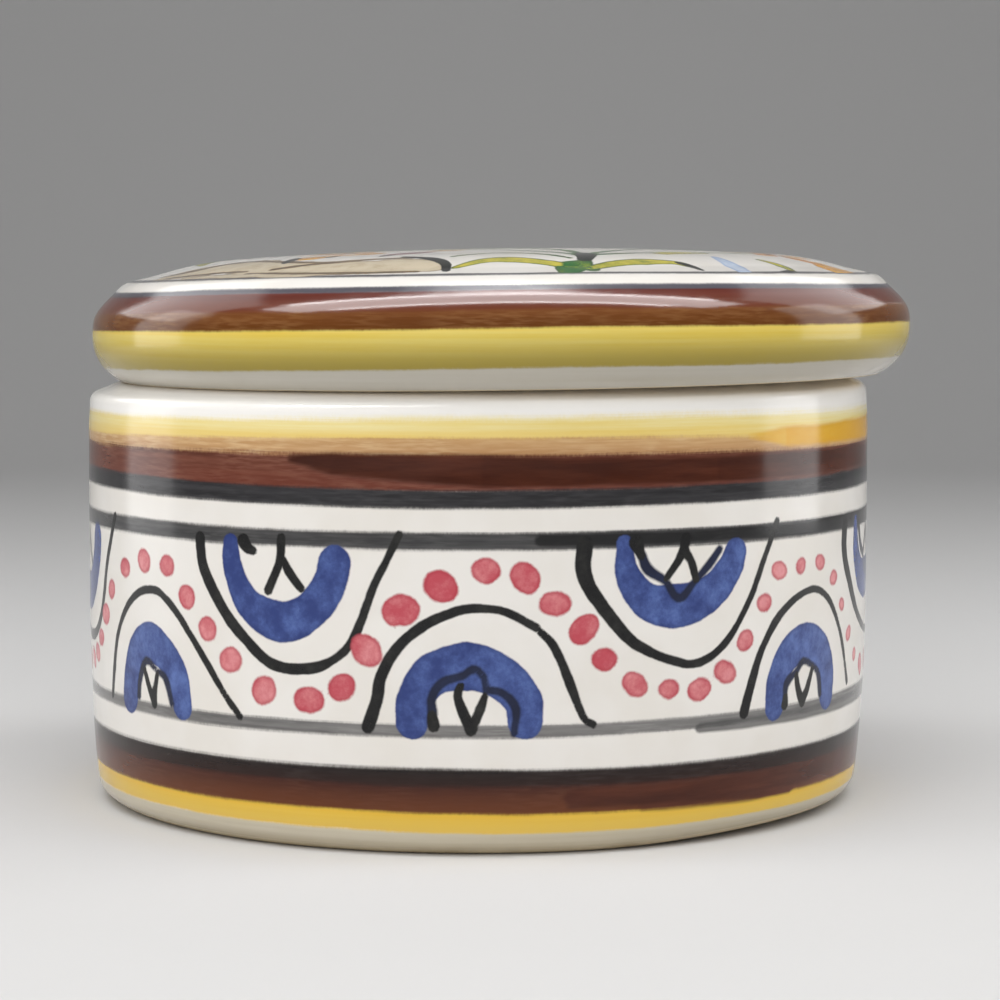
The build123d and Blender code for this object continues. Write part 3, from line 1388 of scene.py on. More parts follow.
@dataclass(frozen=True)
class BandReadings:
    """What every turned band of one material reads, placed once.

    Attributes:
        place: The place on the piece, in millimetres.
        east: How far to the right it lies, as a share of the body's radius.
        streak: The streaks that the brush hairs left.
        patch: Slow patches of depth.
        grit: Dashes where the glaze broke up the band.
        grain: The even grain of those dashes.
    """

    place: Socket
    east: Socket
    streak: Socket
    patch: Socket
    grit: Socket
    grain: Socket


@dataclass(frozen=True)
class PaintedFinish:
    """The finish of one piece: white glaze, turned bands, brush strokes and bare clay.

    Attributes:
        name: The material's name.
        groups: The shared node groups.
        bands: The turned bands, in the order they were laid.
        brushes: The brush colours, in the order they were laid.
        white: The glaze where it lies thick.
        shade: The glaze where it lies thin.
        lean_radius: The distance to the right at which a band has leant by its full amount.
        streak_share: How much of a band's depth follows the brush hairs.
        patch_share: How much of it follows slow patches.
        grain_share: How much of it follows the grain.
        clay_roughness: How dull the bare clay is.
        glaze_skin: The height of the glaze's waves, in millimetres, as are the next two.
        paint_skin: How far brushed pigment stands proud.
        clay_skin: The height of the clay's grains.
        bump: How strongly these heights turn the light.
        ior: The glaze's refractive index.
        gloss: The glaze's specular level.
    """

    name: str
    groups: GlazeGroups
    bands: tuple[BandPaint, ...]
    brushes: tuple[BrushPaint, ...]
    white: Colour = card(236, 232, 226)
    shade: Colour = card(231, 226, 218)
    lean_radius: float = BODY_RADIUS
    streak_share: float = 0.6
    patch_share: float = 0.3
    grain_share: float = 0.1
    clay_roughness: float = 0.85
    glaze_skin: float = 0.05
    paint_skin: float = 0.012
    clay_skin: float = 0.05
    bump: float = 0.6
    ior: float = 1.5
    gloss: float = 0.3

    def material(self) -> bpy.types.Material:
        """Builds the material.

        Returns:
            The finished material.
        """
        made = bpy.data.materials.new(self.name)
        made.use_nodes = True
        made.node_tree.nodes.clear()
        desk = NodeDesk(made.node_tree)
        coordinates = desk.add("ShaderNodeTexCoord")
        place = desk.scaled(coordinates.outputs["Object"], (1.0 / MM, 1.0 / MM, 1.0 / MM))
        ground = {"Place": place, "White": self.white, "Shade": self.shade}
        glaze = desk.place(self.groups.tin_glaze, ground)
        colour = glaze.outputs["Colour"]
        relief: Feed = 0.0
        parts = desk.add("ShaderNodeSeparateXYZ", {0: place})
        east = desk.math("DIVIDE", parts.outputs["X"], self.lean_radius)
        streaks = desk.place(self.groups.brush_streaks, {"Place": place})
        grit = desk.place(self.groups.glaze_grit, {"Place": place})
        readings = BandReadings(
            place=place,
            east=east,
            streak=streaks.outputs["Streak"],
            patch=streaks.outputs["Patch"],
            grit=grit.outputs["Grit"],
            grain=grit.outputs["Grain"],
        )
        for band in self.bands:
            colour = self.lay_band(desk, band, readings, colour)
        for brush in self.brushes:
            colour, relief = self.lay_brush(desk, brush, place, colour, relief)
        clay = desk.place(self.groups.bare_clay, {"Place": place})
        bare = desk.reading("bare_clay")
        colour = desk.mix(bare, colour, clay.outputs["Colour"])
        dull = desk.math("MULTIPLY", bare, self.clay_roughness)
        roughness = desk.math("MAXIMUM", glaze.outputs["Roughness"], dull)
        skin = desk.math("MULTIPLY", glaze.outputs["Skin"], self.glaze_skin)
        skin = desk.math("MULTIPLY_ADD", relief, self.paint_skin, skin)
        grains = desk.math("MULTIPLY", clay.outputs["Skin"], bare)
        skin = desk.math("MULTIPLY_ADD", grains, self.clay_skin, skin)
        bump = desk.add("ShaderNodeBump", {"Strength": self.bump, "Distance": MM, "Height": skin})
        shader = desk.add(
            "ShaderNodeBsdfPrincipled",
            {"Base Color": colour, "Roughness": roughness, "Normal": bump.outputs["Normal"]},
        )
        shader.inputs["IOR"].default_value = self.ior
        shader.inputs["Specular IOR Level"].default_value = self.gloss
        desk.add("ShaderNodeOutputMaterial", {"Surface": shader.outputs["BSDF"]})
        return made

    def lay_band(
        self, desk: NodeDesk, band: BandPaint, readings: BandReadings, ground: Feed
    ) -> Socket:
        """Lays one turned band over the ground.

        Args:
            desk: The desk on the material's tree.
            band: The band's borders and colours.
            readings: What all bands of the material read.
            ground: The colour under the band.

        Returns:
            The colour with the band on it.
        """
        level = desk.reading(band.axis.value)
        if band.lean:
            level = desk.math("MULTIPLY_ADD", readings.east, band.lean, level)
        if band.sag:
            aside = desk.math("MULTIPLY", readings.east, readings.east)
            level = desk.math("MULTIPLY_ADD", aside, band.sag, level)
        feeds = {"Place": readings.place, "Level": level, "Low": band.low, "High": band.high}
        feeds |= {"Soft": band.soft, "Wander": band.wander, "Grain": band.grain}
        mask = desk.place(self.groups.wheel_band, feeds).outputs["Mask"]
        depth = desk.math("MULTIPLY", readings.streak, self.streak_share)
        depth = desk.math("MULTIPLY_ADD", readings.patch, self.patch_share, depth)
        depth = desk.math("MULTIPLY_ADD", readings.grain, self.grain_share, depth)
        paint = desk.mix(depth, band.thick, band.thin)
        # Shifts the band to its foot colour at its lower border, which is partly painted shade on the
        # lid's yellow and the body's foot strip.
        if band.foot:
            paint = desk.mix(desk.ease(level, band.high, band.low), paint, band.foot)
        if band.grit:
            broken = desk.math("MULTIPLY", readings.grit, band.gritty)
            paint = desk.mix(broken, paint, band.grit)
        return desk.mix(mask, ground, paint)

    def lay_brush(
        self, desk: NodeDesk, brush: BrushPaint, place: Feed, ground: Feed, relief: Feed
    ) -> tuple[Socket, Socket]:
        """Lays all strokes of one brush colour over the ground.

        Args:
            desk: The desk on the material's tree.
            brush: The brush colour.
            place: The place on the piece, in millimetres.
            ground: The colour under the strokes.
            relief: How much pigment stands proud so far.

        Returns:
            The colour with the strokes on it, and the relief with them.
        """
        along = 1.0 / brush.stretch
        feeds = {
            "Place": desk.scaled(place, (along, along, 1.0)),
            "Reach": desk.reading(f"{brush.pigment.value}_reach"),
            "Load": desk.reading(f"{brush.pigment.value}_load"),
            "Soft": brush.soft,
            "Ragged": brush.ragged,
            "Pool Width": brush.pool_width,
        }
        ink = desk.place(self.groups.stroke_ink, feeds)
        paint = desk.mix(desk.ease(ink.outputs["Depth"], 0.2, 1.0), brush.thin, brush.deep)
        gathered = desk.math("MULTIPLY", ink.outputs["Pool"], brush.pool)
        paint = desk.mix(gathered, paint, brush.pooled)
        cover = desk.math("MULTIPLY", ink.outputs["Mask"], brush.cover)
        return desk.mix(cover, ground, paint), desk.math("MAXIMUM", relief, ink.outputs["Mask"])


class SectionPen:
    """Draws half of a turned section, from point to point, in the plane of radius and height."""

    def __init__(self, bm: bmesh.types.BMesh, axis: float, radius: float, height: float) -> None:
        """Sets the pen down.

        Args:
            bm: The mesh that takes the section.
            axis: Where the turning axis stands along X.
            radius: The first point's distance from the axis.
            height: The first point's height.
        """
        self.bm = bm
        self.axis = axis
        self.tip = bm.verts.new((axis + radius, 0.0, height))

    def line(self, radius: float, height: float, steps: int) -> None:
        """Draws a straight run to a point, in even steps.

        Args:
            radius: The point's distance from the axis.
            height: Its height.
            steps: How many steps.
        """
        start = self.tip.co.copy()
        end = Vector((self.axis + radius, 0.0, height))
        for step in range(1, steps + 1):
            made = bmesh.ops.extrude_vert_indiv(self.bm, verts=[self.tip])
            self.tip = made["verts"][0]
            self.tip.co = start.lerp(end, step / steps)

    def arc(self, radius: float, height: float, turn: float, steps: int) -> None:
        """Swings the pen about a centre, counterclockwise where the turn in radians is positive.

        Args:
            radius: The centre's distance from the axis.
            height: Its height.
            turn: How far the pen swings.
            steps: How many steps.
        """
        made = bmesh.ops.spin(
            self.bm,
            geom=[self.tip],
            cent=(self.axis + radius, 0.0, height),
            axis=(0.0, -1.0, 0.0),
            angle=turn,
            steps=steps,
            use_merge=False,
        )
        self.tip = made["geom_last"][0]

    def bend(self, corner: Point, after: Point, radius: float, steps: tuple[int, int]) -> None:
        """Draws towards a corner and rounds it into the way to the next point.

        Args:
            corner: The sharp corner, as radius and height.
            after: The point that the pen goes to next.
            radius: The rounding of the corner.
            steps: How many steps the straight run and the rounding get.
        """
        start = Vector((self.tip.co.x - self.axis, self.tip.co.z))
        way = (Vector(corner) - start).normalized()
        turn = -way.angle_signed(Vector(after) - Vector(corner))
        near = Vector(corner) - way * radius * math.tan(0.5 * abs(turn))
        side = Vector((-way.y, way.x)) * math.copysign(radius, turn)
        self.line(near.x, near.y, steps[0])
        self.arc(near.x + side.x, near.y + side.y, turn, steps[1])


@dataclass
class TurnedPiece(ABC):
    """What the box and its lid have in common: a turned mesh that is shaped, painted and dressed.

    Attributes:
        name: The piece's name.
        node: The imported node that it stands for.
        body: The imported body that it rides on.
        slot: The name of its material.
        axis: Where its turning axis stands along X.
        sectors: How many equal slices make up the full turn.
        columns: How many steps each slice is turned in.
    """

    name: str
    node: str
    body: str
    slot: str
    axis: float = 0.0
    sectors: int = 32
    columns: int = 20

    @abstractmethod
    def draw_section(self, bm: bmesh.types.BMesh) -> None:
        """Draws half of the section."""

    @abstractmethod
    def band_height(self, places: np.ndarray) -> np.ndarray:
        """Gives the heights that the turned bands follow, so that the inside stays plain."""

    @abstractmethod
    def hand_shape(self, places: np.ndarray) -> np.ndarray:
        """Moves the turned places to where hand and kiln left them."""

    @abstractmethod
    def paint(self, mesh: bpy.types.Mesh, places: np.ndarray) -> None:
        """Writes the painting to the mesh."""

    @abstractmethod
    def finish(self, groups: GlazeGroups) -> PaintedFinish:
        """Gives the piece's finish."""

    def build(self) -> bpy.types.Object:
        """Turns, shapes and paints the piece.

        Returns:
            The piece, in metres, at the origin.
        """
        bm = bmesh.new()
        self.draw_section(bm)
        sector = math.tau / self.sectors
        about = {"cent": (self.axis, 0.0, 0.0), "axis": (0.0, 0.0, 1.0)}
        section = bm.verts[:] + bm.edges[:]
        bmesh.ops.spin(bm, geom=section, angle=sector, steps=self.columns, use_merge=False, **about)
        slice_parts = bm.verts[:] + bm.edges[:] + bm.faces[:]
        rest = math.tau - sector
        copies = {"steps": self.sectors - 1, "use_duplicate": True}
        bmesh.ops.spin(bm, geom=slice_parts, angle=rest, **copies, **about)
        bmesh.ops.remove_doubles(bm, verts=bm.verts[:], dist=1e-3)
        bmesh.ops.recalc_face_normals(bm, faces=bm.faces[:])
        mesh = bpy.data.meshes.new(self.name)
        bm.to_mesh(mesh)
        bm.free()
        flat = np.empty(3 * len(mesh.vertices))
        mesh.vertices.foreach_get("co", flat)
        places = flat.reshape(-1, 3)
        self.write(mesh, "thrown_height", self.band_height(places))
        self.paint(mesh, places)
        shaped = self.hand_shape(places.copy()) * MM
        mesh.vertices.foreach_set("co", shaped.ravel())
        mesh.shade_smooth()
        mesh.update()
        piece = bpy.data.objects.new(self.name, mesh)
        bpy.context.scene.collection.objects.link(piece)
        return piece

    def dress(self, piece: bpy.types.Object, groups: GlazeGroups) -> None:
        """Gives the piece its finish and ties it to the frame.

        Args:
            piece: The piece as built.
            groups: The shared node groups.
        """
        piece.data.materials.append(self.finish(groups).material())
        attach(piece, self.body)
        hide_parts(self.node)

    @staticmethod
    def write(mesh: bpy.types.Mesh, name: str, values: np.ndarray) -> None:
        """Keeps one value for each vertex."""
        attribute = mesh.attributes.new(name, "FLOAT", "POINT")
        attribute.data.foreach_set("value", np.ascontiguousarray(values, dtype=np.float32))

    def lay_strokes(
        self,
        mesh: bpy.types.Mesh,
        flat: np.ndarray,
        here: np.ndarray,
        strokes: Design,
        round_length: float = 0.0,
    ) -> None:
        """Lays a design on the mesh, as the reach and load of each pigment.

        Args:
            mesh: The mesh that takes the design.
            flat: Each vertex on the flat of the design, one row each.
            here: Which vertices lie on the design.
            strokes: The strokes with their pigments.
            round_length: The length after which the flat repeats, or 0.
        """
        reach = {pigment: np.full(len(flat), FAR) for pigment in Pigment}
        load = {pigment: np.zeros(len(flat)) for pigment in Pigment}
        for pigment, stroke in strokes:
            line = stroke.centreline()
            middle = 0.5 * (line.min(axis=0) + line.max(axis=0))
            half = 0.5 * np.ptp(line, axis=0) + 0.5 * max(stroke.widths) + FAR
            offset = flat - middle
            if round_length:
                offset[:, 0] = (offset[:, 0] + 0.5 * round_length) % round_length - 0.5 * round_length
            near = np.flatnonzero(here & (np.abs(offset) < half).all(axis=1))
            if not len(near):
                continue
            edge, held = stroke.mark(offset[near] + middle)
            nearer = edge < reach[pigment][near]
            reach[pigment][near[nearer]] = edge[nearer]
            load[pigment][near[nearer]] = held[nearer]
        used = {pigment for pigment, _ in strokes}
        for pigment in Pigment:
            if pigment in used:
                self.write(mesh, f"{pigment.value}_reach", reach[pigment])
                self.write(mesh, f"{pigment.value}_load", load[pigment])


def ramp(value: np.ndarray, start: float, end: float) -> np.ndarray:
    """Rises smoothly from 0 at start to 1 at end."""
    share = np.clip((value - start) / (end - start), 0.0, 1.0)
    return share * share * (3.0 - 2.0 * share)


@dataclass
class BoxBody(TurnedPiece):
    """The round box: a straight wall, a rounded rim, a hollow and a recessed foot.

    Attributes:
        radius: The outside of the wall, where it is upright.
        height: The table to the rim's crest.
        wall: The thickness of the wall at the rim.
        floor_height: The table to the inside of the floor.
        inner_round: The cove between the inside wall and the floor.
        belly_height: The height below which the wall draws in.
        draw_in: How much narrower the wall is just above the foot.
        foot_round: The rounding from the wall to the foot.
        foot_ring: The width of the ring that stands on the table.
        base_recess: The height of the hollow inside that ring.
        recess_slope: The run of the hollow's sloping edge.
        rim_crest: The width of the rim's level crest, beside the mouth.
        rim_drop: How far the rim slopes down from there to its outer edge.
        rim_outer: The rounding of the rim's outer edge.
        rim_inner: The rounding of the mouth's edge.
        painted_low: Where the finer rows of the frieze begin.
        painted_high: Where they end.
        waver: How far the outside strays from round.
        inner_waver: How far the inside does.
        ripple: The depth of the finger marks that run round the wall.
        steady_height: The height below which the foot stays round.
        foot_swell: How far the wall stands out above the foot, on the left.
        swell_zone: The heights over which that swelling fades.
        foot_lift: How far the foot was trimmed up, on the right.
        lift_zone: The heights over which that lift fades.
        wiped_zone: The heights over which the glaze was wiped off the foot.
        stroke_zone: The heights between which strokes may lie.
        rim_pull: How far the rim was pressed in.
        rim_zone: The heights between which the rim is pressed in and tilted.
        tilt: The rise of the rim from left to right, for each millimetre across.
        frieze: The painting round the wall.
    """

    radius: float = BODY_RADIUS
    height: float = BODY_HEIGHT
    wall: float = 5.2
    floor_height: float = 6.6
    inner_round: float = 6.0
    belly_height: float = 25.0
    draw_in: float = 1.2
    foot_round: float = 2.8
    foot_ring: float = 6.0
    base_recess: float = 1.6
    recess_slope: float = 1.8
    rim_crest: float = 1.3
    rim_drop: float = 1.4
    rim_outer: float = 1.3
    rim_inner: float = 0.8
    painted_low: float = 12.6
    painted_high: float = 38.4
    waver: float = 0.16
    inner_waver: float = 0.12
    ripple: float = 0.03
    steady_height: float = 1.5
    foot_swell: float = 0.35
    swell_zone: Point = (4.0, 18.0)
    foot_lift: float = 0.7
    lift_zone: Point = (0.5, 5.0)
    wiped_zone: Point = (0.3, 1.1)
    stroke_zone: Point = (3.0, 51.0)
    rim_pull: float = 0.2
    rim_zone: Point = (47.0, 52.0)
    tilt: float = 0.0125
    frieze: Frieze = field(default_factory=Frieze)

    def draw_section(self, bm: bmesh.types.BMesh) -> None:
        """Draws the section from the base's middle round to the floor's middle.

        Args:
            bm: The mesh that takes the section.
        """
        foot_outer = self.radius - self.draw_in - self.foot_round
        foot_inner = foot_outer - self.foot_ring
        mouth = self.radius - self.wall
        rim_edge = (self.radius, self.height - self.rim_drop)
        rim_top = (mouth + self.rim_crest, self.height)
        pen = SectionPen(bm, self.axis, 0.0, self.base_recess)
        pen.line(foot_inner - self.recess_slope, self.base_recess, 6)
        pen.line(foot_inner, 0.0, 2)
        pen.line(foot_outer, 0.0, 3)
        pen.arc(foot_outer, self.foot_round, 0.5 * math.pi, 6)
        rise = self.belly_height - self.foot_round
        bow = (rise**2 + self.draw_in**2) / (2.0 * self.draw_in)
        turn = math.asin(rise / bow)
        middle = math.asin((self.belly_height - self.painted_low) / bow)
        pen.arc(self.radius - bow, self.belly_height, turn - middle, 10)
        pen.arc(self.radius - bow, self.belly_height, middle, 28)
        pen.line(self.radius, self.painted_high, 30)
        pen.bend(rim_edge, rim_top, self.rim_outer, (20, 6))
        pen.line(*rim_top, 4)
        pen.bend((mouth, self.height), (mouth, 0.0), self.rim_inner, (1, 5))
        pen.line(mouth, self.floor_height + self.inner_round, 12)
        pen.arc(mouth - self.inner_round, self.floor_height + self.inner_round, -0.5 * math.pi, 8)
        pen.line(0.0, self.floor_height, 10)

    def band_height(self, places: np.ndarray) -> np.ndarray:
        """Gives the outside its own heights and the whole inside the white rim's.

        Args:
            places: The places as turned.

        Returns:
            One height for each place.
        """
        radius = np.hypot(places[:, 0], places[:, 1])
        within = radius < self.radius - 0.9 * self.wall
        inside = within & (places[:, 2] > 0.5 * (self.base_recess + self.floor_height))
        return np.where(inside, self.height, places[:, 2])

    def hand_shape(self, places: np.ndarray) -> np.ndarray:
        """Lets the wall waver, tilts the rim a little and lifts the foot where it was trimmed unevenly.

        Args:
            places: The places as turned.

        Returns:
            The places as fired.
        """
        radius = np.hypot(places[:, 0], places[:, 1])
        outside = radius > self.radius - 0.6 * self.wall
        waver = np.array([noise.noise(Vector(place) * 0.03) for place in places])
        ripple = np.array([noise.noise(Vector((0.0, 7.0, place[2] * 0.35))) for place in places])
        grow = np.where(outside, self.waver * waver + self.ripple * ripple, self.inner_waver * waver)
        above_foot = ramp(places[:, 2], 0.0, self.steady_height)
        near_foot = above_foot * (1.0 - ramp(places[:, 2], *self.swell_zone))
        east = places[:, 0] / self.radius
        grow += np.where(outside, self.foot_swell * near_foot * ramp(-east, 0.3, 1.0), 0.0)
        grow -= np.where(outside, self.rim_pull * ramp(places[:, 2], *self.rim_zone), 0.0)
        grow *= above_foot
        lift = ramp(east, 0.25, 0.75) * (1.0 - ramp(places[:, 2], *self.lift_zone))
        places[:, 2] += self.foot_lift * lift * ramp(radius, 30.0, 44.0)
        places[:, 2] += self.tilt * places[:, 0] * ramp(places[:, 2], *self.rim_zone)
        scale = 1.0 + grow / np.maximum(radius, 10.0)
        places[:, :2] *= scale[:, None]
        return places

    def paint(self, mesh: bpy.types.Mesh, places: np.ndarray) -> None:
        """Lays the frieze on the wall and wipes the foot bare.

        Args:
            mesh: The mesh that is painted.
            places: The places as turned.
        """
        radius = np.hypot(places[:, 0], places[:, 1])
        around = np.arctan2(places[:, 0], -places[:, 1]) * self.frieze.radius
        low, high = self.stroke_zone
        wall = (radius > self.radius - 0.5 * self.wall) & (places[:, 2] > low) & (places[:, 2] < high)
        flat = np.column_stack([around, places[:, 2]])
        self.lay_strokes(mesh, flat, wall, self.frieze.strokes(), math.tau * self.frieze.radius)
        outside = radius > self.radius - self.wall
        foot = np.where(outside, 1.0 - ramp(places[:, 2], *self.wiped_zone), 0.0)
        ring = (places[:, 2] < self.wiped_zone[0]) * 1.0
        self.write(mesh, "bare_clay", np.maximum(foot, ring))

    def finish(self, groups: GlazeGroups) -> PaintedFinish:
        """Gives the body its bands and brush colours."""
        return PaintedFinish(self.slot, groups, BODY_BANDS, BODY_BRUSHES)


@dataclass
class Lid(TurnedPiece):
    """The lid: a crowned top in a gently sloping ring, a thick round edge and a locating flange.

    Attributes:
        seat_height: The table to the rim's crest, where the lid rests.
        body_radius: The radius of the box.
        overhang: How much wider the lid is.
        edge_bottom_height: The seat to the widest line of the edge.
        edge_bottom_reach: How far the edge turns in below that line.
        edge_side: The upright side above it, before it is rounded.
        slope_reach: The run of the slope from the side to the ring.
        slope_rise: The rise of that slope.
        edge_round: The rounding between the side and the slope.
        ring_width: The width of the ring round the crowned top.
        ring_rise: How far the ring rises inwards.
        ring_round: The rounding of the ring's outer edge.
        shoulder_reach: The run of the top's rounded shoulder.
        shoulder_rise: The rise of that shoulder.
        crown_rise: The rise of the flatter crown inside it.
        thickness: The clay of the crowned top.
        recess_round: The cove between the flange and the underside.
        flange_depth: How far the flange reaches into the mouth.
        flange_wall: The flange's thickness.
        flange_radius: The flange's outer radius.
        tip_round: The rounding of the flange's lower edges.
        waver: How far the edge and the top stray.
        edge_zone: The radii between which the edge takes up its waver.
        tilt: The rise of the lid from left to right, for each millimetre across.
        droop: How far the top sinks on both sides.
        droop_zone: The heights above the seat between which it begins to sink.
        off_dome: A radius outside every band, for what isn't on top.
        spray: The painting on the top.
    """

    seat_height: float = BODY_HEIGHT
    body_radius: float = BODY_RADIUS
    overhang: float = 2.3
    edge_bottom_height: float = 5.7
    edge_bottom_reach: float = 3.8
    edge_side: float = 3.4
    slope_reach: float = 4.1
    slope_rise: float = 3.9
    edge_round: float = 6.0
    ring_width: float = 4.2
    ring_rise: float = 0.9
    ring_round: float = 3.0
    shoulder_reach: float = 10.0
    shoulder_rise: float = 1.65
    crown_rise: float = 0.8
    thickness: float = 5.2
    recess_round: float = 5.0
    flange_depth: float = 6.0
    flange_wall: float = 3.8
    flange_radius: float = 41.6
    tip_round: float = 1.2
    waver: float = 0.1
    edge_zone: Point = (44.0, 50.0)
    tilt: float = 0.0125
    droop: float = 0.6
    droop_zone: Point = (7.0, 11.0)
    off_dome: float = 60.0
    spray: FlowerSpray = field(default_factory=FlowerSpray)

    def draw_section(self, bm: bmesh.types.BMesh) -> None:
        """Draws the section from the hollow's middle round the flange and edge to the crown.

        Args:
            bm: The mesh that takes the section.
        """
        seat = self.seat_height
        widest = self.body_radius + self.overhang
        slope_start = (widest, seat + self.edge_bottom_height + self.edge_side)
        ring_edge = (widest - self.slope_reach, slope_start[1] + self.slope_rise)
        ring, ring_height = ring_edge[0] - self.ring_width, ring_edge[1] + self.ring_rise
        shoulder = ring - self.shoulder_reach
        shoulder_height = ring_height + self.shoulder_rise
        crown_height = shoulder_height + self.crown_rise
        inner = self.flange_radius - self.flange_wall
        tip = seat - self.flange_depth
        ceiling_edge = shoulder_height - self.thickness
        pen = SectionPen(bm, self.axis, 0.0, crown_height - self.thickness)
        pen.line(inner - self.recess_round, ceiling_edge, 10)
        pen.arc(inner - self.recess_round, ceiling_edge - self.recess_round, -0.5 * math.pi, 6)
        pen.line(inner, tip + self.tip_round, 6)
        pen.arc(inner + self.tip_round, tip + self.tip_round, 0.5 * math.pi, 4)
        pen.line(self.flange_radius - self.tip_round, tip, 2)
        pen.arc(self.flange_radius - self.tip_round, tip + self.tip_round, 0.5 * math.pi, 4)
        pen.line(self.flange_radius, seat, 5)
        pen.line(widest - self.edge_bottom_reach, seat, 6)
        reach, rise = self.edge_bottom_reach, self.edge_bottom_height
        bow = (reach**2 + rise**2) / (2.0 * reach)
        pen.arc(widest - bow, seat + rise, math.asin(rise / bow), 14)
        pen.bend(slope_start, ring_edge, self.edge_round, (2, 12))
        pen.bend(ring_edge, (ring, ring_height), self.ring_round, (5, 7))
        pen.line(ring, ring_height, 7)
        self.draw_dome(pen, (ring, ring_height), (shoulder, shoulder_height), crown_height)

    @staticmethod
    def draw_dome(pen: SectionPen, ring: Point, shoulder: Point, crown: float) -> None:
        """Draws the shoulder and the flat crown inside the ring.

        Args:
            pen: The pen, which stands at the ring.
            ring: The radius and height where the dome rises from the ring.
            shoulder: The radius and height where the crown begins.
            crown: The height of the dome's middle.
        """
        swell = crown - shoulder[1]
        bow = (shoulder[0] ** 2 + swell**2) / (2.0 * swell)
        slope = math.asin(shoulder[0] / bow)
        run, rise = ring[0] - shoulder[0], shoulder[1] - ring[1]
        lean = math.atan2(rise, run)
        half = lean - slope
        swing = 0.5 * math.hypot(run, rise) / math.sin(half)
        steep = slope + 2.0 * half
        centre = (ring[0] - swing * math.sin(steep), ring[1] - swing * math.cos(steep))
        pen.arc(*centre, 2.0 * half, 18)
        pen.arc(0.0, crown - bow, slope, 56)

    def hollow(self, places: np.ndarray) -> np.ndarray:
        """Tells which places lie on the flange or in the hollow inside it.

        Args:
            places: The places as turned.

        Returns:
            True for each such place.
        """
        radius = np.hypot(places[:, 0] - self.axis, places[:, 1])
        roof = self.edge_bottom_height + self.edge_side + self.slope_rise - 0.5 * self.thickness
        roof += self.ring_rise + self.shoulder_rise + self.crown_rise
        return (radius < self.flange_radius + 0.3) & (places[:, 2] < self.seat_height + roof)

    def band_height(self, places: np.ndarray) -> np.ndarray:
        """Gives the outside its own heights, and the hollow one below every band.

        Args:
            places: The places as turned.

        Returns:
            One height for each place.
        """
        return np.where(self.hollow(places), self.seat_height - 1.0, places[:, 2])

    def hand_shape(self, places: np.ndarray) -> np.ndarray:
        """Tilts the lid with the rim, lets its top droop to both sides and wavers its dome.

        Args:
            places: The places as turned.

        Returns:
            The places as fired.
        """
        out = places[:, 0] - self.axis
        radius = np.hypot(out, places[:, 1])
        above = places[:, 2] - self.seat_height
        waver = np.array([noise.noise(Vector(place) * 0.035) for place in places])
        drooped = self.droop * (out / self.body_radius) ** 2 * ramp(above, *self.droop_zone)
        wavered = self.waver * waver * ramp(above, 0.0, self.edge_bottom_height)
        places[:, 2] += self.tilt * places[:, 0] - drooped + wavered
        grow = self.waver * waver * ramp(radius, *self.edge_zone)
        scale = 1.0 + grow / np.maximum(radius, 10.0)
        places[:, 0] = self.axis + out * scale
        places[:, 1] *= scale
        return places

    def paint(self, mesh: bpy.types.Mesh, places: np.ndarray) -> None:
        """Lays the flower spray on the top and leaves the seat and the flange's tip bare.

        Args:
            mesh: The mesh that is painted.
            places: The places as turned.
        """
        flat = places[:, :2] - np.array([self.axis, 0.0])
        radius = np.hypot(flat[:, 0], flat[:, 1])
        raised = places[:, 2] > self.seat_height + self.edge_bottom_height + self.edge_side
        top = raised & ~self.hollow(places)
        self.lay_strokes(mesh, flat, top & (radius < self.spray.edge), self.spray.strokes())
        self.write(mesh, "dome_radius", np.where(top, radius, self.off_dome))
        seat = (places[:, 2] < self.seat_height + 0.05) & (radius > self.flange_radius + 0.5)
        tip = places[:, 2] < self.seat_height - self.flange_depth + 1.0
        self.write(mesh, "bare_clay", np.where(tip | seat, 1.0, 0.0))

    def finish(self, groups: GlazeGroups) -> PaintedFinish:
        """Gives the lid its bands and brush colours."""
        return PaintedFinish(self.slot, groups, LID_BANDS, LID_BRUSHES)


class LampRole(Enum):
    """What a lamp adds: whether it lights surfaces, and whether a glossy surface mirrors it."""

    FILL = (True, False)
    GLINT = (False, True)


@dataclass(frozen=True)
class Softbox:
    """A rectangular soft lamp, in metres.

    Attributes:
        name: The lamp's name.
        place: Where it stands.
        target: The point that it faces.
        size: Its width and height.
        power: Its power in watts.
        role: What it adds.
    """

    name: str
    place: Triple
    target: Triple
    size: tuple[float, float]
    power: float
    role: LampRole

    def build(self) -> None:
        """Sets the lamp up."""
        data = bpy.data.lights.new(self.name, "AREA")
        data.shape = "RECTANGLE"
        data.size, data.size_y = self.size
        data.energy = self.power
        lamp = bpy.data.objects.new(self.name, data)
        lamp.location = self.place
        way = Vector(self.target) - Vector(self.place)
        lamp.rotation_euler = way.to_track_quat("-Z", "Y").to_euler()
        lamp.visible_diffuse, lamp.visible_glossy = self.role.value
        bpy.context.scene.collection.objects.link(lamp)


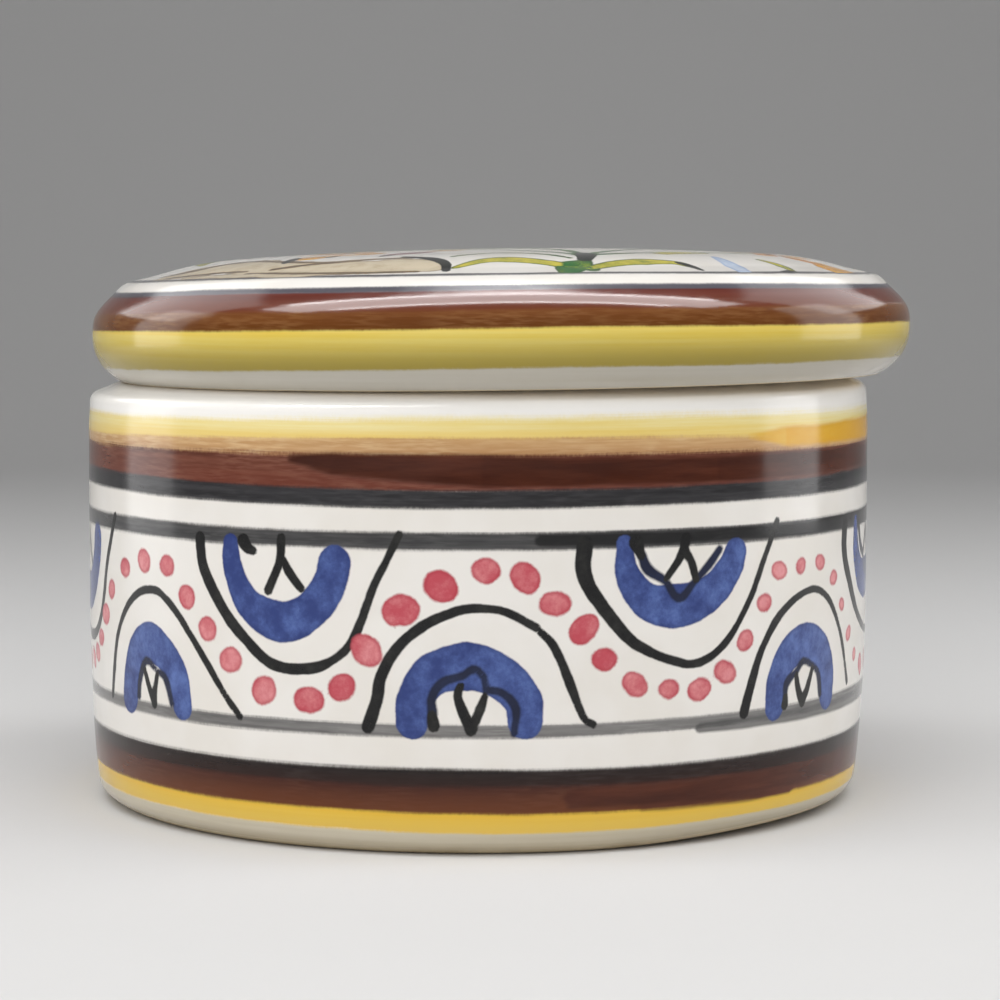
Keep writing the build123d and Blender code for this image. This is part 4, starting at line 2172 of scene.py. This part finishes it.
@dataclass
class Studio:
    """The plain floor and backdrop, the soft lamps and the camera, in metres.

    Attributes:
        floor_half: Half the floor's side.
        backdrop_distance: How far behind the box the backdrop stands.
        backdrop_height: How high it rises.
        bend: The rounding between the two.
        floor_colour: The colour of both.
        floor_roughness: How dull both are.
        world_colour: The even light from all round.
        world_strength: How strong that light is.
        eye: Where the camera stands.
        look_down: How far it looks down, in radians.
        lens: Its focal length in millimetres.
        sensor: The width of its sensor in millimetres.
        lamps: The soft lamps.
    """

    floor_half: float = 2.0
    backdrop_distance: float = 1.1
    backdrop_height: float = 1.6
    bend: float = 0.5
    floor_colour: Colour = card(208, 207, 206)
    floor_roughness: float = 0.8
    world_colour: Colour = card(200, 201, 203)
    world_strength: float = 0.3
    eye: Triple = (0.00278, -0.388, 0.0674)
    look_down: float = 0.0775
    lens: float = 108.0
    sensor: float = 36.0
    lamps: tuple[Softbox, ...] = (
        Softbox("ceiling", (0.0, -0.15, 0.7), (0.0, -0.15, 0.0), (1.2, 0.3), 3.5, LampRole.FILL),
        Softbox("front", (-0.06, -0.6, 0.46), (0.0, 0.0, 0.04), (0.9, 0.5), 2.9, LampRole.FILL),
        Softbox("low", (-0.3, -0.55, 0.1), (0.0, 0.0, 0.05), (0.5, 0.16), 0.3, LampRole.FILL),
        Softbox("left_side", (-0.43, 0.05, 0.14), (0.0, 0.0, 0.04), (0.14, 0.26), 0.4, LampRole.FILL),
        Softbox("right_side", (0.43, 0.05, 0.2), (0.0, 0.0, 0.04), (0.14, 0.36), 0.6, LampRole.FILL),
        Softbox("sky_card", (0.0, -0.154, 0.62), (0.0, -0.154, 0.0), (1.2, 0.22), 9.0, LampRole.GLINT),
        Softbox("near_strip", (0.0, -0.265, 0.62), (0.0, 0.0, 0.04), (0.9, 0.02), 2.6, LampRole.GLINT),
        Softbox("far_strip", (0.0, -0.043, 0.62), (0.0, 0.0, 0.04), (0.9, 0.02), 2.6, LampRole.GLINT),
        Softbox("left_sky", (-0.45, 0.28, 0.42), (0.0, 0.0, 0.06), (0.45, 0.4), 1.3, LampRole.GLINT),
        Softbox("right_sky", (0.45, 0.28, 0.42), (0.0, 0.0, 0.06), (0.45, 0.4), 1.3, LampRole.GLINT),
        Softbox("left_window", (-0.43, 0.11, 0.17), (0.0, 0.0, 0.17), (0.18, 0.34), 0.38, LampRole.GLINT),
        Softbox("right_window", (0.43, 0.06, 0.17), (0.0, 0.0, 0.17), (0.2, 0.34), 0.5, LampRole.GLINT),
    )

    def build(self) -> None:
        """Builds the whole studio."""
        self.build_floor()
        for lamp in self.lamps:
            lamp.build()
        self.build_world()
        self.build_camera()

    def build_floor(self) -> None:
        """Builds a floor that sweeps up into a backdrop."""
        bm = bmesh.new()
        half = self.floor_half
        bmesh.ops.create_grid(bm, x_segments=1, y_segments=1, size=half)
        shift = Vector((0.0, self.backdrop_distance - half, 0.0))
        bmesh.ops.translate(bm, verts=bm.verts[:], vec=shift)
        back = max(bm.edges, key=lambda edge: edge.verts[0].co.y + edge.verts[1].co.y)
        raised = bmesh.ops.extrude_edge_only(bm, edges=[back])
        corners = [part for part in raised["geom"] if isinstance(part, bmesh.types.BMVert)]
        bmesh.ops.translate(bm, verts=corners, vec=Vector((0.0, 0.0, self.backdrop_height)))
        bmesh.ops.bevel(
            bm,
            geom=[back],
            offset=self.bend,
            offset_type="OFFSET",
            affect="EDGES",
            segments=24,
            profile=0.5,
            material=-1,
        )
        bmesh.ops.recalc_face_normals(bm, faces=bm.faces[:])
        mesh = bpy.data.meshes.new("studio_floor")
        bm.to_mesh(mesh)
        bm.free()
        mesh.shade_smooth()
        floor = bpy.data.objects.new("studio_floor", mesh)
        bpy.context.scene.collection.objects.link(floor)
        made = bpy.data.materials.new("pale_paper")
        made.use_nodes = True
        shader = made.node_tree.nodes["Principled BSDF"]
        shader.inputs["Base Color"].default_value = self.floor_colour
        shader.inputs["Roughness"].default_value = self.floor_roughness
        mesh.materials.append(made)

    def build_world(self) -> None:
        """Fills the shadows from all round with an even grey."""
        world = bpy.data.worlds.new("studio_world")
        world.use_nodes = True
        light = world.node_tree.nodes["Background"]
        light.inputs["Color"].default_value = self.world_colour
        light.inputs["Strength"].default_value = self.world_strength
        bpy.context.scene.world = world

    def build_camera(self) -> None:
        """Stands the camera in front, a little above the lid's edge."""
        data = bpy.data.cameras.new("front_camera")
        data.sensor_width = self.sensor
        data.lens = self.lens
        data.clip_start = 0.01
        camera = bpy.data.objects.new("front_camera", data)
        camera.location = self.eye
        camera.rotation_euler = (0.5 * math.pi - self.look_down, 0.0, 0.0)
        bpy.context.scene.collection.objects.link(camera)
        bpy.context.scene.camera = camera


def main() -> None:
    """Loads the frame, builds the pieces in order and sets up the studio."""
    logging.basicConfig(level=logging.INFO, format="%(name)s: %(message)s")
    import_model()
    bpy.context.scene.view_settings.view_transform = "Standard"
    groups = GlazeGroups()
    low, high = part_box("lid")
    axis = 0.5 * (low.x + high.x) / MM
    pieces = (
        BoxBody("glazed_box_body", "box_body", "box", "painted_body_glaze"),
        Lid("glazed_lid", "lid", "lid", "painted_lid_glaze", axis=axis, sectors=30),
    )
    for piece in pieces:
        made = piece.build()
        piece.dress(made, groups)
        LOG.info("%s: %d faces, rides on %s", piece.name, len(made.data.polygons), piece.body)
    studio = Studio()
    studio.build()
    LOG.info("studio: %d lamps", len(studio.lamps))


if __name__ == "__main__":
    main()
